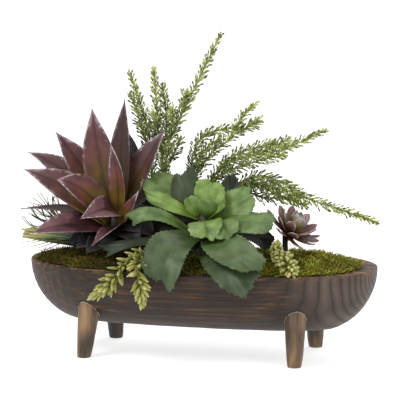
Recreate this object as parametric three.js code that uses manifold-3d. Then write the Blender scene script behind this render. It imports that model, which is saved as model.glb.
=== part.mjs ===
// A dish garden of faux succulents in a long carved wooden bowl on four peg legs.
// Millimetres, +Z up. The bowl runs along X and its front faces -Y.

import * as THREE from 'three';
import { mergeVertices } from 'three/addons/utils/BufferGeometryUtils.js';
import Module from 'manifold-3d';

const wasm = await Module();
wasm.setup();

// Driving dimensions of the planter.
const GAP = 0.3;
const FINENESS = 0.05;
const BOWL = {
  length: 610, width: 285, rim: 161, bottom: 48.5,
  keelLength: 402, keelWidth: 40, squareness: 2.33,
  endWall: 33, sideWall: 16, rimRound: 2.5, innerRound: [10, 3],
  floor: 110, floorInset: [57.2, 41.6], floorCurve: 1.7,
  outsideHeights: [48.5, 55, 70, 95, 128], insideHeights: [157, 145, 125, 110],
};
const LEG = {
  footRadius: 12, topRadius: 20.5, height: 103, sides: 12, edge: 1.5, unevenness: 0.5,
  low: 35, middle: 70,
};
const LEGS = {
  leg_front_left: { foot: [-190.5, -90], top: [-181, -80] },
  leg_front_right: { foot: [180.5, -90], top: [180.5, -80] },
  leg_back_left: { foot: [-180.5, 90], top: [-181, 80] },
  leg_back_right: { foot: [181.5, 90], top: [180.5, 80] },
};
const FOAM = { heights: [110.4, 125, 145], side: 1.5 };
const MOSS = {
  bottom: 145.3, side: 1.2, crown: 9, tuft: 3.2, middle: [-7, -8],
  lip: [10, 4.5], lipRise: 0.4, lipHeight: 1.6,
  mound: { at: [195, 5], reach: [100, 75], height: 15 },
};
const PEG = { bottom: 128, sides: 6, above: 260, thin: 2.5 };

// Each leaf is a point of its midline, its tip, half its width, the direction that its upper side
// faces and how far below the middle of the heart it starts.
const AGAVE = {
  root: [-158, -5], stemRadius: 7, stemTop: 205, lump: [-155, -6, 215], lumpSize: [14, 14, 26],
  heart: [-155, -6, 222], axis: [-0.02, -0.15, 1], start: 11, climb: 12,
  leaves: [
    [[-238, -22, 281], [-316, -20, 313], 30, [0.3, -0.75, 0.6], 0],
    [[-249, 18, 300], [-325, 35, 335], 25, [0.2, -0.6, 0.75], 0],
    [[-222, 20, 310], [-273, 30, 374], 28, [0.4, -0.7, 0.5], 0],
    [[-188, 14, 330], [-206, 28, 418], 30, [0.05, -0.9, 0.3], 0],
    [[-148, 10, 340], [-144, 18, 437], 21, [-0.2, -0.95, 0.2], 0],
    [[-110, 8, 316], [-74, 28, 384], 29, [-0.35, -0.75, 0.5], 0],
    [[-144, -28, 306], [-155, -38, 366], 17, [-0.3, -0.8, 0.3], 0],
    [[-206, -42, 283], [-246, -58, 303], 28, [0.05, -0.7, 0.7], 0],
    [[-162, -54, 252], [-194, -98, 243], 26, [0.05, -0.85, 0.5], -14],
    [[-250, 8, 237], [-333, 15, 237], 17, [0, -0.2, 1], 0],
    [[-232, -40, 219], [-292, -50, 206], 27, [0, -0.6, 0.8], 8],
    [[-150, -60, 216], [-174, -96, 196], 20, [-0.35, -0.6, 0.7], 8],
    [[-119, -42, 252], [-101, -55, 289], 15, [-0.4, -0.8, 0.5], 0],
    [[-143, 42, 318], [-151, 60, 375], 22, [0.1, -0.9, 0.3], 0],
    [[-205, 42, 320], [-222, 60, 372], 20, [0.1, -0.9, 0.3], 0],
    [[-109, -24, 224], [-80, -30, 203], 27, [0.2, -0.7, 0.7], 8],
    [[-120, -40, 213], [-102, -54, 195], 26, [0.1, -0.7, 0.7], 12],
    [[-198, -22, 206], [-236, -32, 186], 22, [0, -0.7, 0.7], 12],
    [[-158, -42, 202], [-160, -56, 180], 20, [0, -0.8, 0.6], 14],
    [[-186, -34, 198], [-216, -54, 182], 24, [0, -0.7, 0.7], 16],
    [[-174, -48, 192], [-190, -74, 178], 22, [0, -0.8, 0.6], 18],
    [[-128, -34, 198], [-112, -46, 180], 24, [0, -0.8, 0.6], 16],
    [[-208, 70, 268], [-240, 108, 290], 26, [0, -0.3, 1], 0],
    [[-158, 75, 262], [-165, 122, 275], 26, [0, -0.3, 1], 0],
    [[-232, 46, 245], [-288, 76, 250], 22, [0, -0.2, 1], 0],
    [[-108, 45, 266], [-86, 70, 292], 22, [0, -0.3, 1], 0],
  ],
};
const ROSETTE = {
  root: [8, -12], stemRadius: 8, stemTop: 205, lump: [6, -14, 222], lumpSize: [15, 15, 27],
  heart: [6, -14, 238], axis: [0.06, -0.33, 0.94], start: 11, climb: 8,
  leaves: [
    [[-50, -6, 274], [-99, -2, 300], 31, [0.25, -0.7, 0.65], 0],
    [[-50, -34, 264], [-92, -32, 281], 12, [0.2, -0.85, 0.45], 4],
    [[-24, -8, 272], [-36, 2, 313], 25, [0.1, -0.9, 0.4], 0],
    [[13, -10, 268], [13, -4, 300], 27, [0, -0.95, 0.4], 0],
    [[37, 15, 265], [46, 30, 303], 20, [0, -0.9, 0.4], 0],
    [[52, -15, 256], [90, -15, 277], 33, [-0.3, -0.75, 0.6], 2],
    [[20, -68, 238], [28, -104, 221], 28, [0, -0.4, 0.95], 6],
    [[48, -66, 236], [66, -98, 222], 26, [0, -0.45, 0.9], 8],
    [[84, -56, 240], [136, -75, 240], 30, [0.1, -0.55, 0.8], 6],
    [[-62, -64, 248], [-110, -68, 242], 17, [0.15, -0.65, 0.75], 42],
    [[-25, -124, 207], [-37, -156, 151], 34, [0.3, -0.55, 0.75], 30],
    [[64, -114, 207], [127, -154, 183], 31, [0.1, -0.75, 0.65], 26],
    [[60, -112, 190], [113, -160, 146], 38, [0.05, -0.8, 0.6], 38],
    [[-82, -64, 203], [-152, -80, 186], 16, [0, -0.5, 0.9], 26],
    [[84, -20, 212], [122, -28, 196], 22, [0.2, -0.5, 0.85], 20],
    [[-61, 22, 248], [-100, 40, 256], 32, [0.3, -0.6, 0.7], 14],
    [[-72, 2, 217], [-116, 4, 212], 32, [0, -0.6, 0.8], 24],
    [[-40, 45, 240], [-62, 82, 232], 27, [0, -0.3, 1], 0],
    [[28, 38, 246], [36, 70, 243], 28, [0, -0.3, 1], 0],
    [[62, 24, 236], [98, 50, 226], 26, [0, -0.3, 1], 8],
    [[10, -62, 208], [8, -102, 196], 26, [0, -0.6, 0.8], 28],
    [[-60, 8, 246], [-107, 10, 262], 25, [0.1, -0.7, 0.7], 6],
  ],
  heartLeaves: [
    [[-13, -22, 258], [-23, -24, 273], 14, [0.4, -0.8, 0.4], 0],
    [[37, -22, 258], [40, -18, 276], 16, [-0.4, -0.8, 0.4], 0],
    [[16, -36, 254], [12, -38, 273], 19, [0, 0.8, 0.6], 0],
    [[34, -34, 252], [46, -40, 264], 14, [-0.4, -0.5, 0.7], 0],
  ],
};
const ECHEVERIA = {
  root: [149, -20], stemRadius: 5, stemTop: 215, lump: [156, -22, 218], lumpSize: [11, 11, 12],
  heart: [156, -22, 218], axis: [0.55, -0.08, 0.83], start: 4,
  bud: {
    count: 9, lean: [3, 16], length: [33, 36], halfWidth: [7, 11], height: [9, 9], bow: [2, 8],
    cup: 0.5,
  },
  outer: {
    count: 17, lean: [40, 78], length: [46, 55], halfWidth: [9.5, 9.5], height: [5, -4], bow: [6, 6],
    cup: 0.2,
  },
};

// A sedum is its root and its stems, each a list of points up to its tip.
const SEDUM_LONG = {
  root: [-70, -62],
  stems: [[
    [-70, -62, 176], [-80, -72, 186], [-88, -88, 184], [-97, -112, 178], [-106, -138, 170],
    [-118, -156, 152], [-131, -164, 138], [-146, -168, 127],
  ]],
};
const SEDUM_SHORT = {
  root: [-70, -86],
  stems: [[
    [-70, -86, 174], [-78, -104, 182], [-78, -136, 180], [-75, -162, 166], [-67, -174, 142],
    [-65, -174, 122],
  ]],
};
const TRAILING = {
  foot: 2.2, tip: 1.5, sides: 6, step: 14, bare: 0.15, head: 0.72, lean: [50, 4], length: [24, 18],
  leaf: { radius: 4.3, sides: 3, belly: 0.55 },
};
const SEDUM_RIGHT = {
  root: [150, -72],
  stems: [
    [[150, -72, 177], [149, -73, 184], [147, -75, 193], [146, -77, 205]],
    [[150, -72, 177], [157, -80, 184], [167, -94, 180], [178, -111, 170]],
  ],
};
const PACKED = {
  foot: 4.5, tip: 3, sides: 6, step: 10, bare: 0.2, lean: [82, 20], lengths: [12, 18],
  leaf: { radius: 4.3, sides: 3, belly: 0.75 },
};

// A needle spray is its root in the bowl and its branches, each a list of points up to its tip.
const SPRAYS = {
  sprig_tall: {
    root: [-62, 84],
    branches: [
      [[-62, 84, 180], [-86, 78, 270], [-80, 76, 351], [-60, 76, 399], [-31, 78, 458], [13, 82, 551]],
      [[-56, 76, 407], [-50, 72, 428], [-47, 70, 451]],
      [[-78, 76, 358], [-74, 71, 392], [-69, 66, 423]],
      [[-82, 76, 318], [-70, 84, 340], [-60, 90, 365]],
    ],
  },
  sprig_back: {
    root: [-78, 98],
    branches: [
      [[-78, 98, 180], [-92, 96, 285], [-103, 88, 383], [-104, 84, 428], [-109, 82, 488]],
      [[-98, 98, 325], [-91, 104, 387], [-100, 108, 456]],
      [[-103, 94, 350], [-105, 78, 380], [-109, 66, 411]],
    ],
  },
  sprig_thin: {
    root: [-122, 86],
    branches: [
      [
        [-122, 86, 178], [-116, 96, 286], [-122, 104, 361], [-133, 106, 397], [-145, 106, 434],
        [-159, 106, 477],
      ],
      [[-118, 100, 325], [-131, 92, 369], [-142, 86, 413], [-153, 84, 442]],
    ],
  },
  sprig_arched: {
    root: [-32, 100],
    branches: [
      [[-32, 100, 180], [-43, 98, 278], [-4, 92, 339], [23, 90, 361], [50, 88, 403], [76, 90, 431]],
      [[34, 89, 372], [60, 84, 386], [87, 78, 400]],
      [[-42, 98, 284], [-44, 103, 326], [-25, 106, 364], [5, 108, 376], [40, 110, 382]],
    ],
  },
  sprig_middle: {
    root: [-4, 88],
    branches: [
      [[-4, 88, 182], [-12, 84, 272], [19, 76, 317], [60, 72, 335], [122, 70, 350], [203, 72, 387]],
      [[70, 72, 338], [106, 80, 353], [138, 86, 369]],
    ],
  },
  sprig_low: {
    root: [34, 82],
    branches: [
      [[34, 82, 184], [25, 76, 266], [68, 62, 291], [121, 50, 286], [166, 42, 273], [307, 12, 237]],
      [[46, 68, 284], [88, 74, 264], [125, 68, 265], [158, 62, 262]],
    ],
  },
};
const SPRAY_STEM = { main: 2.3, branch: 1.6, tip: 0.8, sides: 3, step: 30, bare: 0.22, branchBare: 0.06 };
const NEEDLE = { length: 17.5, radius: 1.7, lean: 43, spacing: 12.4, sides: 3, belly: 0.7 };

// The tuft at the left end: a bundle of blunt blades, thin blades below it and curled strands.
const TUFT = {
  root: [-205, 16], stemRadius: 6, foot: [-205, 16, 184], middle: [-258, 22, 188], tip: [-326, 24, 193],
  radius: 10, blades: 11,
  blade: { foot: 2.8, tip: 2.8, sides: 4, step: 40 },
  thinBlade: { foot: 1.4, tip: 0.6, sides: 3, step: 40 },
  thin: [[-330, 5, 179], [-313, -5, 173], [-286, -15, 169], [-322, 14, 176]],
};
const STRANDS = {
  root: [-214, 44], foot: [-214, 44, 174], strand: { foot: 1.4, tip: 0.7, sides: 3, step: 32 },
  branches: [
    [[-266, 48, 206], [-277, 45, 224], [-288, 45, 236], [-297, 45, 250], [-306, 45, 263]],
    [[-262, 46, 206], [-274, 45, 226], [-281, 44, 238], [-284, 43, 251], [-282, 42, 260]],
    [[-256, 46, 206], [-266, 45, 226], [-274, 45, 237], [-279, 45, 247], [-283, 45, 254]],
    [[-268, 46, 208], [-279, 45, 224], [-288, 45, 234], [-292, 45, 247], [-292, 45, 257]],
    [[-266, 40, 208], [-282, 35, 223], [-296, 35, 235], [-307, 35, 242], [-318, 35, 246]],
    [[-264, 40, 206], [-282, 35, 220], [-300, 35, 226], [-311, 35, 235], [-317, 35, 240]],
    [[-262, 36, 200], [-283, 25, 211], [-305, 25, 206], [-319, 25, 209], [-332, 25, 224]],
    [[-264, 36, 202], [-283, 25, 214], [-299, 25, 217], [-308, 25, 226], [-314, 25, 235]],
    [[-266, 42, 200], [-282, 35, 209], [-295, 35, 221], [-300, 35, 232], [-304, 35, 241]],
    [[-250, 42, 204], [-266, 30, 218], [-286, 25, 214], [-306, 25, 221], [-317, 25, 229]],
  ],
};

const MATERIALS = {
  wood: new THREE.MeshStandardMaterial({ color: '#4a2e20', roughness: 0.62 }),
  foam: new THREE.MeshStandardMaterial({ color: '#5b4a38', roughness: 0.95 }),
  moss: new THREE.MeshStandardMaterial({ color: '#6a6c22', roughness: 1 }),
  burgundy: new THREE.MeshStandardMaterial({ color: '#5e3f42', roughness: 0.6 }),
  green: new THREE.MeshStandardMaterial({ color: '#64855a', roughness: 0.6 }),
  mauve: new THREE.MeshStandardMaterial({ color: '#8b6a76', roughness: 0.6 }),
  yellowGreen: new THREE.MeshStandardMaterial({ color: '#b0b46c', roughness: 0.6 }),
  needle: new THREE.MeshStandardMaterial({ color: '#6b8a3a', roughness: 0.65 }),
  twig: new THREE.MeshStandardMaterial({ color: '#4d4a2c', roughness: 0.7 }),
};

const vector = (point) => new THREE.Vector3(...point);
const radians = THREE.MathUtils.degToRad;

// A repeatable stream of numbers between 0 and 1.
function randomStream(seed) {
  let state = seed;
  return () => {
    state = (Math.imul(state, 1664525) + 1013904223) >>> 0;
    return state / 4294967296;
  };
}

// Skins rings of equally many points. Rings run anticlockwise when seen from the last ring,
// and a last ring of one point is a tip. Both halves of a ring are split into triangles alike,
// so that the two faces of a thin waved blade never cross.
function loft(rings) {
  const count = rings[0].length;
  const faces = [];
  const cap = (start, forward) => {
    let low = 0;
    let high = count - 1;
    const add = (a, b, c) => {
      faces.push(forward ? [start + a, start + b, start + c] : [start + c, start + b, start + a]);
    };
    while (high - low > 1) {
      add(low, low + 1, high);
      low += 1;
      if (high - low > 1) {
        add(low, high - 1, high);
        high -= 1;
      }
    }
  };
  cap(0, false);
  for (let ring = 0; ring + 1 < rings.length; ring += 1) {
    const here = ring * count;
    const there = here + count;
    for (let j = 0; j < count; j += 1) {
      const next = (j + 1) % count;
      if (rings[ring + 1].length === 1) {
        faces.push([here + j, here + next, there]);
      } else if (j < count / 2) {
        faces.push([here + j, here + next, there + next], [here + j, there + next, there + j]);
      } else {
        faces.push([here + j, here + next, there + j], [here + next, there + next, there + j]);
      }
    }
  }
  if (rings.at(-1).length > 1) cap((rings.length - 1) * count, true);
  const geometry = new THREE.BufferGeometry();
  geometry.setAttribute('position', new THREE.Float32BufferAttribute(rings.flat(2), 3));
  geometry.setIndex(faces.flat());
  return geometry;
}

function solid(geometry) {
  geometry.deleteAttribute('normal');
  geometry.deleteAttribute('uv');
  const joined = mergeVertices(geometry);
  const vertProperties = new Float32Array(joined.attributes.position.array);
  const triVerts = new Uint32Array(joined.index.array);
  return new wasm.Manifold(new wasm.Mesh({ numProp: 3, vertProperties, triVerts }));
}

// Joins solids in one body and drops any scrap that the rest doesn't hold.
function joined(solids) {
  const whole = wasm.Manifold.union(solids).simplify(FINENESS);
  const bodies = whole.decompose();
  return bodies.reduce((largest, body) => (body.volume() > largest.volume() ? body : largest));
}

// Leaves out the small pieces that would come too near what stands there already.
function apart(pieces, others) {
  return pieces.filter((piece) => others.every((other) => piece.minGap(other, 2 * GAP) > GAP));
}

function namedMesh(name, body, material) {
  const { vertProperties, triVerts } = body.getMesh();
  const geometry = new THREE.BufferGeometry();
  geometry.setAttribute('position', new THREE.BufferAttribute(vertProperties, 3));
  geometry.setIndex(new THREE.BufferAttribute(triVerts, 1));
  geometry.computeVertexNormals();
  const mesh = new THREE.Mesh(geometry, material);
  mesh.name = name;
  return mesh;
}

// The bowl's plan at any height is a squarish oval.
function oval(halfLength, halfWidth, z, sides = 28) {
  const ring = [];
  for (let i = 0; i < sides; i += 1) {
    const angle = (i / sides) * 2 * Math.PI;
    const c = Math.cos(angle);
    const s = Math.sin(angle);
    const power = 2 / BOWL.squareness;
    ring.push([
      halfLength * Math.sign(c) * Math.abs(c) ** power,
      halfWidth * Math.sign(s) * Math.abs(s) ** power,
      z,
    ]);
  }
  return ring;
}

// Half the length and half the width of the bowl's outside, at a height above its bottom.
function bowlOutside(z) {
  const rise = (z - BOWL.bottom) / (BOWL.rim - BOWL.bottom);
  const swell = Math.sqrt(1 - (1 - rise) ** 2);
  const length = BOWL.keelLength + (BOWL.length - BOWL.keelLength) * swell;
  const width = BOWL.keelWidth + (BOWL.width - BOWL.keelWidth) * swell;
  return [length / 2, width / 2];
}

// Half the length and half the width of the hollow, which narrows in a curve towards its floor.
function bowlInside(z) {
  const drop = ((BOWL.rim - z) / (BOWL.rim - BOWL.floor)) ** BOWL.floorCurve;
  const [endInset, sideInset] = BOWL.floorInset;
  return [
    BOWL.length / 2 - BOWL.endWall - endInset * drop,
    BOWL.width / 2 - BOWL.sideWall - sideInset * drop,
  ];
}

function legRing(spec, z, grow) {
  const [footX, footY] = spec.foot;
  const [topX, topY] = spec.top;
  const rise = z / LEG.height;
  const random = randomStream(Math.round(footX * 7 + footY * 13 + 5000));
  const radius = LEG.footRadius + (LEG.topRadius - LEG.footRadius) * rise ** 0.85 + grow;
  const ring = [];
  for (let i = 0; i < LEG.sides; i += 1) {
    const angle = (i / LEG.sides) * 2 * Math.PI;
    const carved = radius + (random() - 0.5) * 2 * LEG.unevenness;
    ring.push([
      footX + (topX - footX) * rise + carved * Math.cos(angle),
      footY + (topY - footY) * rise + carved * Math.sin(angle),
      z,
    ]);
  }
  return ring;
}

function leg(spec) {
  const rings = [legRing(spec, 0, -LEG.edge)];
  for (const z of [LEG.edge, LEG.low, LEG.middle, LEG.height]) rings.push(legRing(spec, z, 0));
  return solid(loft(rings));
}

// The space that a leg's peg takes up in the bowl, open at the bowl's underside.
function socket(spec) {
  const grow = GAP + 0.05;
  const top = legRing(spec, LEG.height, grow).map(([x, y]) => [x, y, LEG.height + GAP]);
  return solid(loft([legRing(spec, LEG.low, grow), legRing(spec, LEG.middle, grow), top]));
}

function bowl() {
  const rings = [...BOWL.outsideHeights, BOWL.rim - BOWL.rimRound].map((z) => oval(...bowlOutside(z), z));
  const [halfLength, halfWidth] = bowlOutside(BOWL.rim);
  const [hollowLength, hollowWidth] = bowlInside(BOWL.rim);
  rings.push(oval(halfLength - BOWL.rimRound, halfWidth - BOWL.rimRound, BOWL.rim));
  rings.push(oval(hollowLength + BOWL.innerRound[0], hollowWidth + BOWL.innerRound[1], BOWL.rim));
  rings.push(...BOWL.insideHeights.map((z) => oval(...bowlInside(z), z)));
  return Object.values(LEGS).reduce((body, spec) => body.subtract(socket(spec)), solid(loft(rings)));
}

// A straight peg that a plant stands on, down in the foam.
function peg([x, y], radius, top, grow = 0) {
  const height = top - PEG.bottom + 2 * grow;
  const geometry = new THREE.CylinderGeometry(radius + grow, radius + grow, height, PEG.sides);
  geometry.rotateX(Math.PI / 2);
  geometry.translate(x, y, PEG.bottom - grow + height / 2);
  return solid(geometry);
}

// Cuts one plain hole for each stem.
function drilled(body, stems) {
  const holes = stems.map((stem) => peg(stem.root, stem.radius, PEG.above, GAP + 0.1));
  return holes.reduce((rest, hole) => rest.subtract(hole), body);
}

function foam() {
  const rings = FOAM.heights.map((z) => {
    const [halfLength, halfWidth] = bowlInside(z);
    return oval(halfLength - FOAM.side, halfWidth - FOAM.side, z);
  });
  return solid(loft(rings));
}

// The moss is a mat that rests on the rim with its lip. Its top rises to a crown, with one mound
// and small tufts all over.
function moss() {
  const random = randomStream(31);
  const insideAt = (z) => bowlInside(z).map((half) => half - MOSS.side);
  const [insideLength, insideWidth] = insideAt(BOWL.rim);
  const halfLength = insideLength + MOSS.lip[0];
  const halfWidth = insideWidth + MOSS.lip[1];
  const shifted = ([x, y, z]) => [x + MOSS.middle[0], y + MOSS.middle[1], z];
  const lipBottom = BOWL.rim + MOSS.lipRise;
  const rings = [
    oval(...insideAt(MOSS.bottom), MOSS.bottom), oval(insideLength, insideWidth, lipBottom),
    oval(halfLength, halfWidth, lipBottom).map(shifted),
  ];
  const { at, reach, height } = MOSS.mound;
  for (const part of [1, 0.96, 0.86, 0.72, 0.52, 0.26]) {
    rings.push(oval(halfLength * part, halfWidth * part, 0).map(shifted).map(([x, y]) => {
      const away = ((x - at[0]) / reach[0]) ** 2 + ((y - at[1]) / reach[1]) ** 2;
      const rise = MOSS.crown * (1 - part ** 2) + height * Math.exp(-away) * (1 - part ** 6);
      const tuft = (random() - 0.5) * 2 * MOSS.tuft * (1 - part ** 8);
      return [x, y, BOWL.rim + MOSS.lipHeight + rise + tuft];
    }));
  }
  rings.push([shifted([0, 0, BOWL.rim + MOSS.lipHeight + MOSS.crown])]);
  return solid(loft(rings));
}

// Half-width along a leaf, from 0 at its base to 1 at its tip.
const quarter = (part) => Math.sin((part * Math.PI) / 2);
const lanceShape = (t) => (t < 0.42 ? 0.66 + 0.34 * quarter(t / 0.42) : quarter((1 - t) / 0.58) ** 1.1);
const fanShape = (t) => (t < 0.62 ? 0.34 + 0.66 * quarter(t / 0.62) ** 1.1
  : (1 - ((t - 0.62) / 0.4) ** 2) ** 0.22);
const spoonShape = (t) => (t < 0.6 ? 0.46 + 0.54 * quarter(t / 0.6)
  : (1 - ((t - 0.6) / 0.4) ** 2.2) ** 0.6);

// A long wave with a shorter one on it, as a fluted margin has.
const twoWaves = (turn, folds, phase) => Math.sin(turn * folds + phase)
  + 0.5 * Math.sin(turn * folds * 2.3 + phase * 2);

// A fleshy leaf on a curve from its base through a point to its tip. Its rings have four corners:
// two edges, the top and the back of its midrib.
function leaf(base, through, tip, facing, look) {
  const { halfWidth, thickness, shape, steps, cup = 0.1, crowding = 1 } = look;
  const { lobes = 0, ruffle = 0, folds = 0, phase = 0 } = look;
  const along = tip.clone().sub(base).normalize();
  const upper = facing.clone().addScaledVector(along, -facing.dot(along)).normalize();
  const across = upper.cross(along).normalize();
  const bend = through.clone().multiplyScalar(2).addScaledVector(base, -0.5).addScaledVector(tip, -0.5);
  const curve = new THREE.QuadraticBezierCurve3(base, bend, tip);
  const rings = [];
  for (let i = 0; i < steps; i += 1) {
    const t = 1 - (1 - i / steps) ** crowding;
    const point = curve.getPoint(t);
    const above = curve.getTangent(t).cross(across).normalize();
    const edge = (side) => {
      const turn = Math.atan2(side * shape(t), t - 0.35);
      const reach = halfWidth * shape(t) * (1 + lobes * twoWaves(turn, folds * 1.4, phase + 1));
      const lift = ruffle * Math.min(1, t * 2) * twoWaves(turn, folds, phase);
      return point.clone().addScaledVector(across, side * reach)
        .addScaledVector(above, reach * cup + lift).toArray();
    };
    const flesh = thickness * (1 - 0.6 * t);
    const top = point.clone().addScaledVector(above, flesh * 0.1).toArray();
    const back = point.clone().addScaledVector(above, -flesh * 0.9).toArray();
    rings.push([edge(1), top, edge(-1), back]);
  }
  rings.push([tip.toArray()]);
  return solid(loft(rings));
}

// The lump that a rosette's leaves grow from, on its peg.
function rosetteHeart(plant) {
  const lump = new THREE.SphereGeometry(1, 8, 5);
  lump.rotateX(Math.PI / 2);
  lump.scale(...plant.lumpSize);
  lump.translate(...plant.lump);
  return [solid(lump), peg(plant.root, plant.stemRadius, plant.stemTop)];
}

function leavesOf(plant, leaves, look) {
  const heart = vector(plant.heart);
  const axis = vector(plant.axis).normalize();
  return leaves.map(([through, tip, halfWidth, facing, drop], index) => {
    const outward = vector(through).sub(heart);
    const climb = plant.climb * outward.clone().normalize().dot(axis) - drop;
    outward.addScaledVector(axis, -outward.dot(axis)).normalize();
    const base = heart.clone().addScaledVector(axis, climb).addScaledVector(outward, plant.start);
    const thisLook = { ...look, halfWidth, phase: index * 1.7 };
    return leaf(base, vector(through), vector(tip), vector(facing), thisLook);
  });
}

function agave() {
  const look = { shape: lanceShape, steps: 5, thickness: 5.5, cup: 0.42 };
  return joined([...rosetteHeart(AGAVE), ...leavesOf(AGAVE, AGAVE.leaves, look)]);
}

function greenRosette() {
  const outer = {
    shape: fanShape, steps: 6, crowding: 1.3, thickness: 4, cup: 0.16,
    ruffle: 5.2, folds: 2.7, lobes: 0.055,
  };
  const inner = { ...outer, steps: 5, cup: 0.45, ruffle: 1.6, lobes: 0.03 };
  return joined([
    ...rosetteHeart(ROSETTE), ...leavesOf(ROSETTE, ROSETTE.leaves, outer),
    ...leavesOf(ROSETTE, ROSETTE.heartLeaves, inner),
  ]);
}

// The direction at an angle round an axis, leaning away from it.
function leaning(axis, turn, lean) {
  const side = new THREE.Vector3(1, 0.013, 0.02);
  side.addScaledVector(axis, -side.dot(axis)).normalize().applyAxisAngle(axis, turn);
  return side.multiplyScalar(Math.sin(lean)).addScaledVector(axis, Math.cos(lean)).normalize();
}

const GOLDEN_ANGLE = radians(137.5);

// One ring of leaves round the heart, a golden angle apart, that changes from first to last.
function ringOfLeaves(ring, turned) {
  const axis = vector(ECHEVERIA.axis).normalize();
  const leaves = [];
  for (let i = 0; i < ring.count; i += 1) {
    const part = i / (ring.count - 1);
    const here = ([first, last]) => first + (last - first) * part;
    const direction = leaning(axis, (turned + i) * GOLDEN_ANGLE, radians(here(ring.lean)));
    const outward = direction.clone().addScaledVector(axis, -direction.dot(axis)).normalize();
    const base = vector(ECHEVERIA.heart).addScaledVector(axis, here(ring.height))
      .addScaledVector(outward, ECHEVERIA.start);
    const tip = base.clone().addScaledVector(direction, here(ring.length));
    const bowed = outward.clone().addScaledVector(axis, -0.4).normalize();
    const through = base.clone().lerp(tip, 0.5).addScaledVector(bowed, here(ring.bow));
    const look = { shape: spoonShape, steps: 3, thickness: 6, cup: ring.cup };
    leaves.push(leaf(base, through, tip, axis, { ...look, halfWidth: here(ring.halfWidth) }));
  }
  return leaves;
}

// The inner leaves close in a bud and the outer ones spread.
function echeveria() {
  const { bud, outer } = ECHEVERIA;
  return joined([
    ...rosetteHeart(ECHEVERIA), ...ringOfLeaves(bud, 0), ...ringOfLeaves(outer, bud.count),
  ]);
}

// A round stem that thins from its foot to its tip.
function stem(points, look) {
  const { foot, tip, sides, step } = look;
  const curve = new THREE.CatmullRomCurve3(points.map(vector));
  const steps = Math.max(2, Math.round(curve.getLength() / step));
  const frames = curve.computeFrenetFrames(steps);
  const rings = [];
  for (let i = 0; i <= steps; i += 1) {
    const center = curve.getPointAt(i / steps);
    const radius = foot + (tip - foot) * (i / steps);
    const ring = [];
    for (let j = 0; j < sides; j += 1) {
      const angle = (j / sides) * 2 * Math.PI;
      ring.push(center.clone().addScaledVector(frames.normals[i], radius * Math.cos(angle))
        .addScaledVector(frames.binormals[i], radius * Math.sin(angle)).toArray());
    }
    rings.push(ring);
  }
  return { body: solid(loft(rings)), curve };
}

// A leaf that starts as a point inside its stem, swells to one ring of corners and ends in a point.
function spindle(base, direction, length, { radius, sides, belly }) {
  const side = new THREE.Vector3(0.31, 0.52, 0.79).cross(direction).normalize();
  const centre = base.clone().addScaledVector(direction, length * belly);
  const ring = [];
  for (let i = 0; i < sides; i += 1) {
    const out = side.clone().applyAxisAngle(direction, (i / sides) * 2 * Math.PI);
    ring.push(centre.clone().addScaledVector(out, radius));
  }
  const tip = base.clone().addScaledVector(direction, length);
  const faces = ring.flatMap((corner, i) => {
    const next = ring[(i + 1) % sides];
    return [base, next, corner, corner, next, tip];
  });
  return solid(new THREE.BufferGeometry().setFromPoints(faces));
}

const thinPeg = (plant, top) => peg(plant.root, PEG.thin, top);

// A hanging stem whose leaves stand apart at its foot and close into a head at its tip.
function trailingSedum(plant, count, seed, others) {
  const random = randomStream(seed);
  const [points] = plant.stems;
  const { body, curve } = stem(points, TRAILING);
  const [openLean, closedLean] = TRAILING.lean;
  const [longest, shortest] = TRAILING.length;
  const leaves = [];
  for (let i = 0; i < count; i += 1) {
    const part = i / (count - 1);
    const closing = Math.max(0, (part - 0.45) / 0.55);
    const at = part < 0.45 ? TRAILING.bare + (part / 0.45) * (TRAILING.head - TRAILING.bare)
      : TRAILING.head + closing * (1 - TRAILING.head);
    const lean = radians(openLean + (closedLean - openLean) * closing ** 2 + 8 * (random() - 0.5));
    const direction = leaning(curve.getTangentAt(at), i * GOLDEN_ANGLE, lean);
    const length = (longest + (shortest - longest) * closing) * (0.85 + 0.3 * random());
    leaves.push(spindle(curve.getPointAt(at), direction, length, TRAILING.leaf));
  }
  return joined([thinPeg(plant, points[0][2] + 3), body, ...apart(leaves, others)]);
}

// Stems hidden by short round leaves, which point outwards and a little to the tip.
function packedSedum(plant, count, seed, others) {
  const random = randomStream(seed);
  const [openLean, closedLean] = PACKED.lean;
  const pieces = [thinPeg(plant, plant.stems[0][0][2] + 3)];
  plant.stems.forEach((points, index) => {
    const { body, curve } = stem(points, PACKED);
    const leaves = [];
    for (let i = 0; i < count; i += 1) {
      const part = i / (count - 1);
      const at = PACKED.bare + (1 - PACKED.bare) * part;
      const lean = radians(openLean + (closedLean - openLean) * part ** 4);
      const direction = leaning(curve.getTangentAt(at), i * GOLDEN_ANGLE, lean);
      const length = PACKED.lengths[index] * (0.9 + 0.2 * random());
      leaves.push(spindle(curve.getPointAt(at), direction, length, PACKED.leaf));
    }
    pieces.push(body, ...apart(leaves, others));
  });
  return joined(pieces);
}

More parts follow.
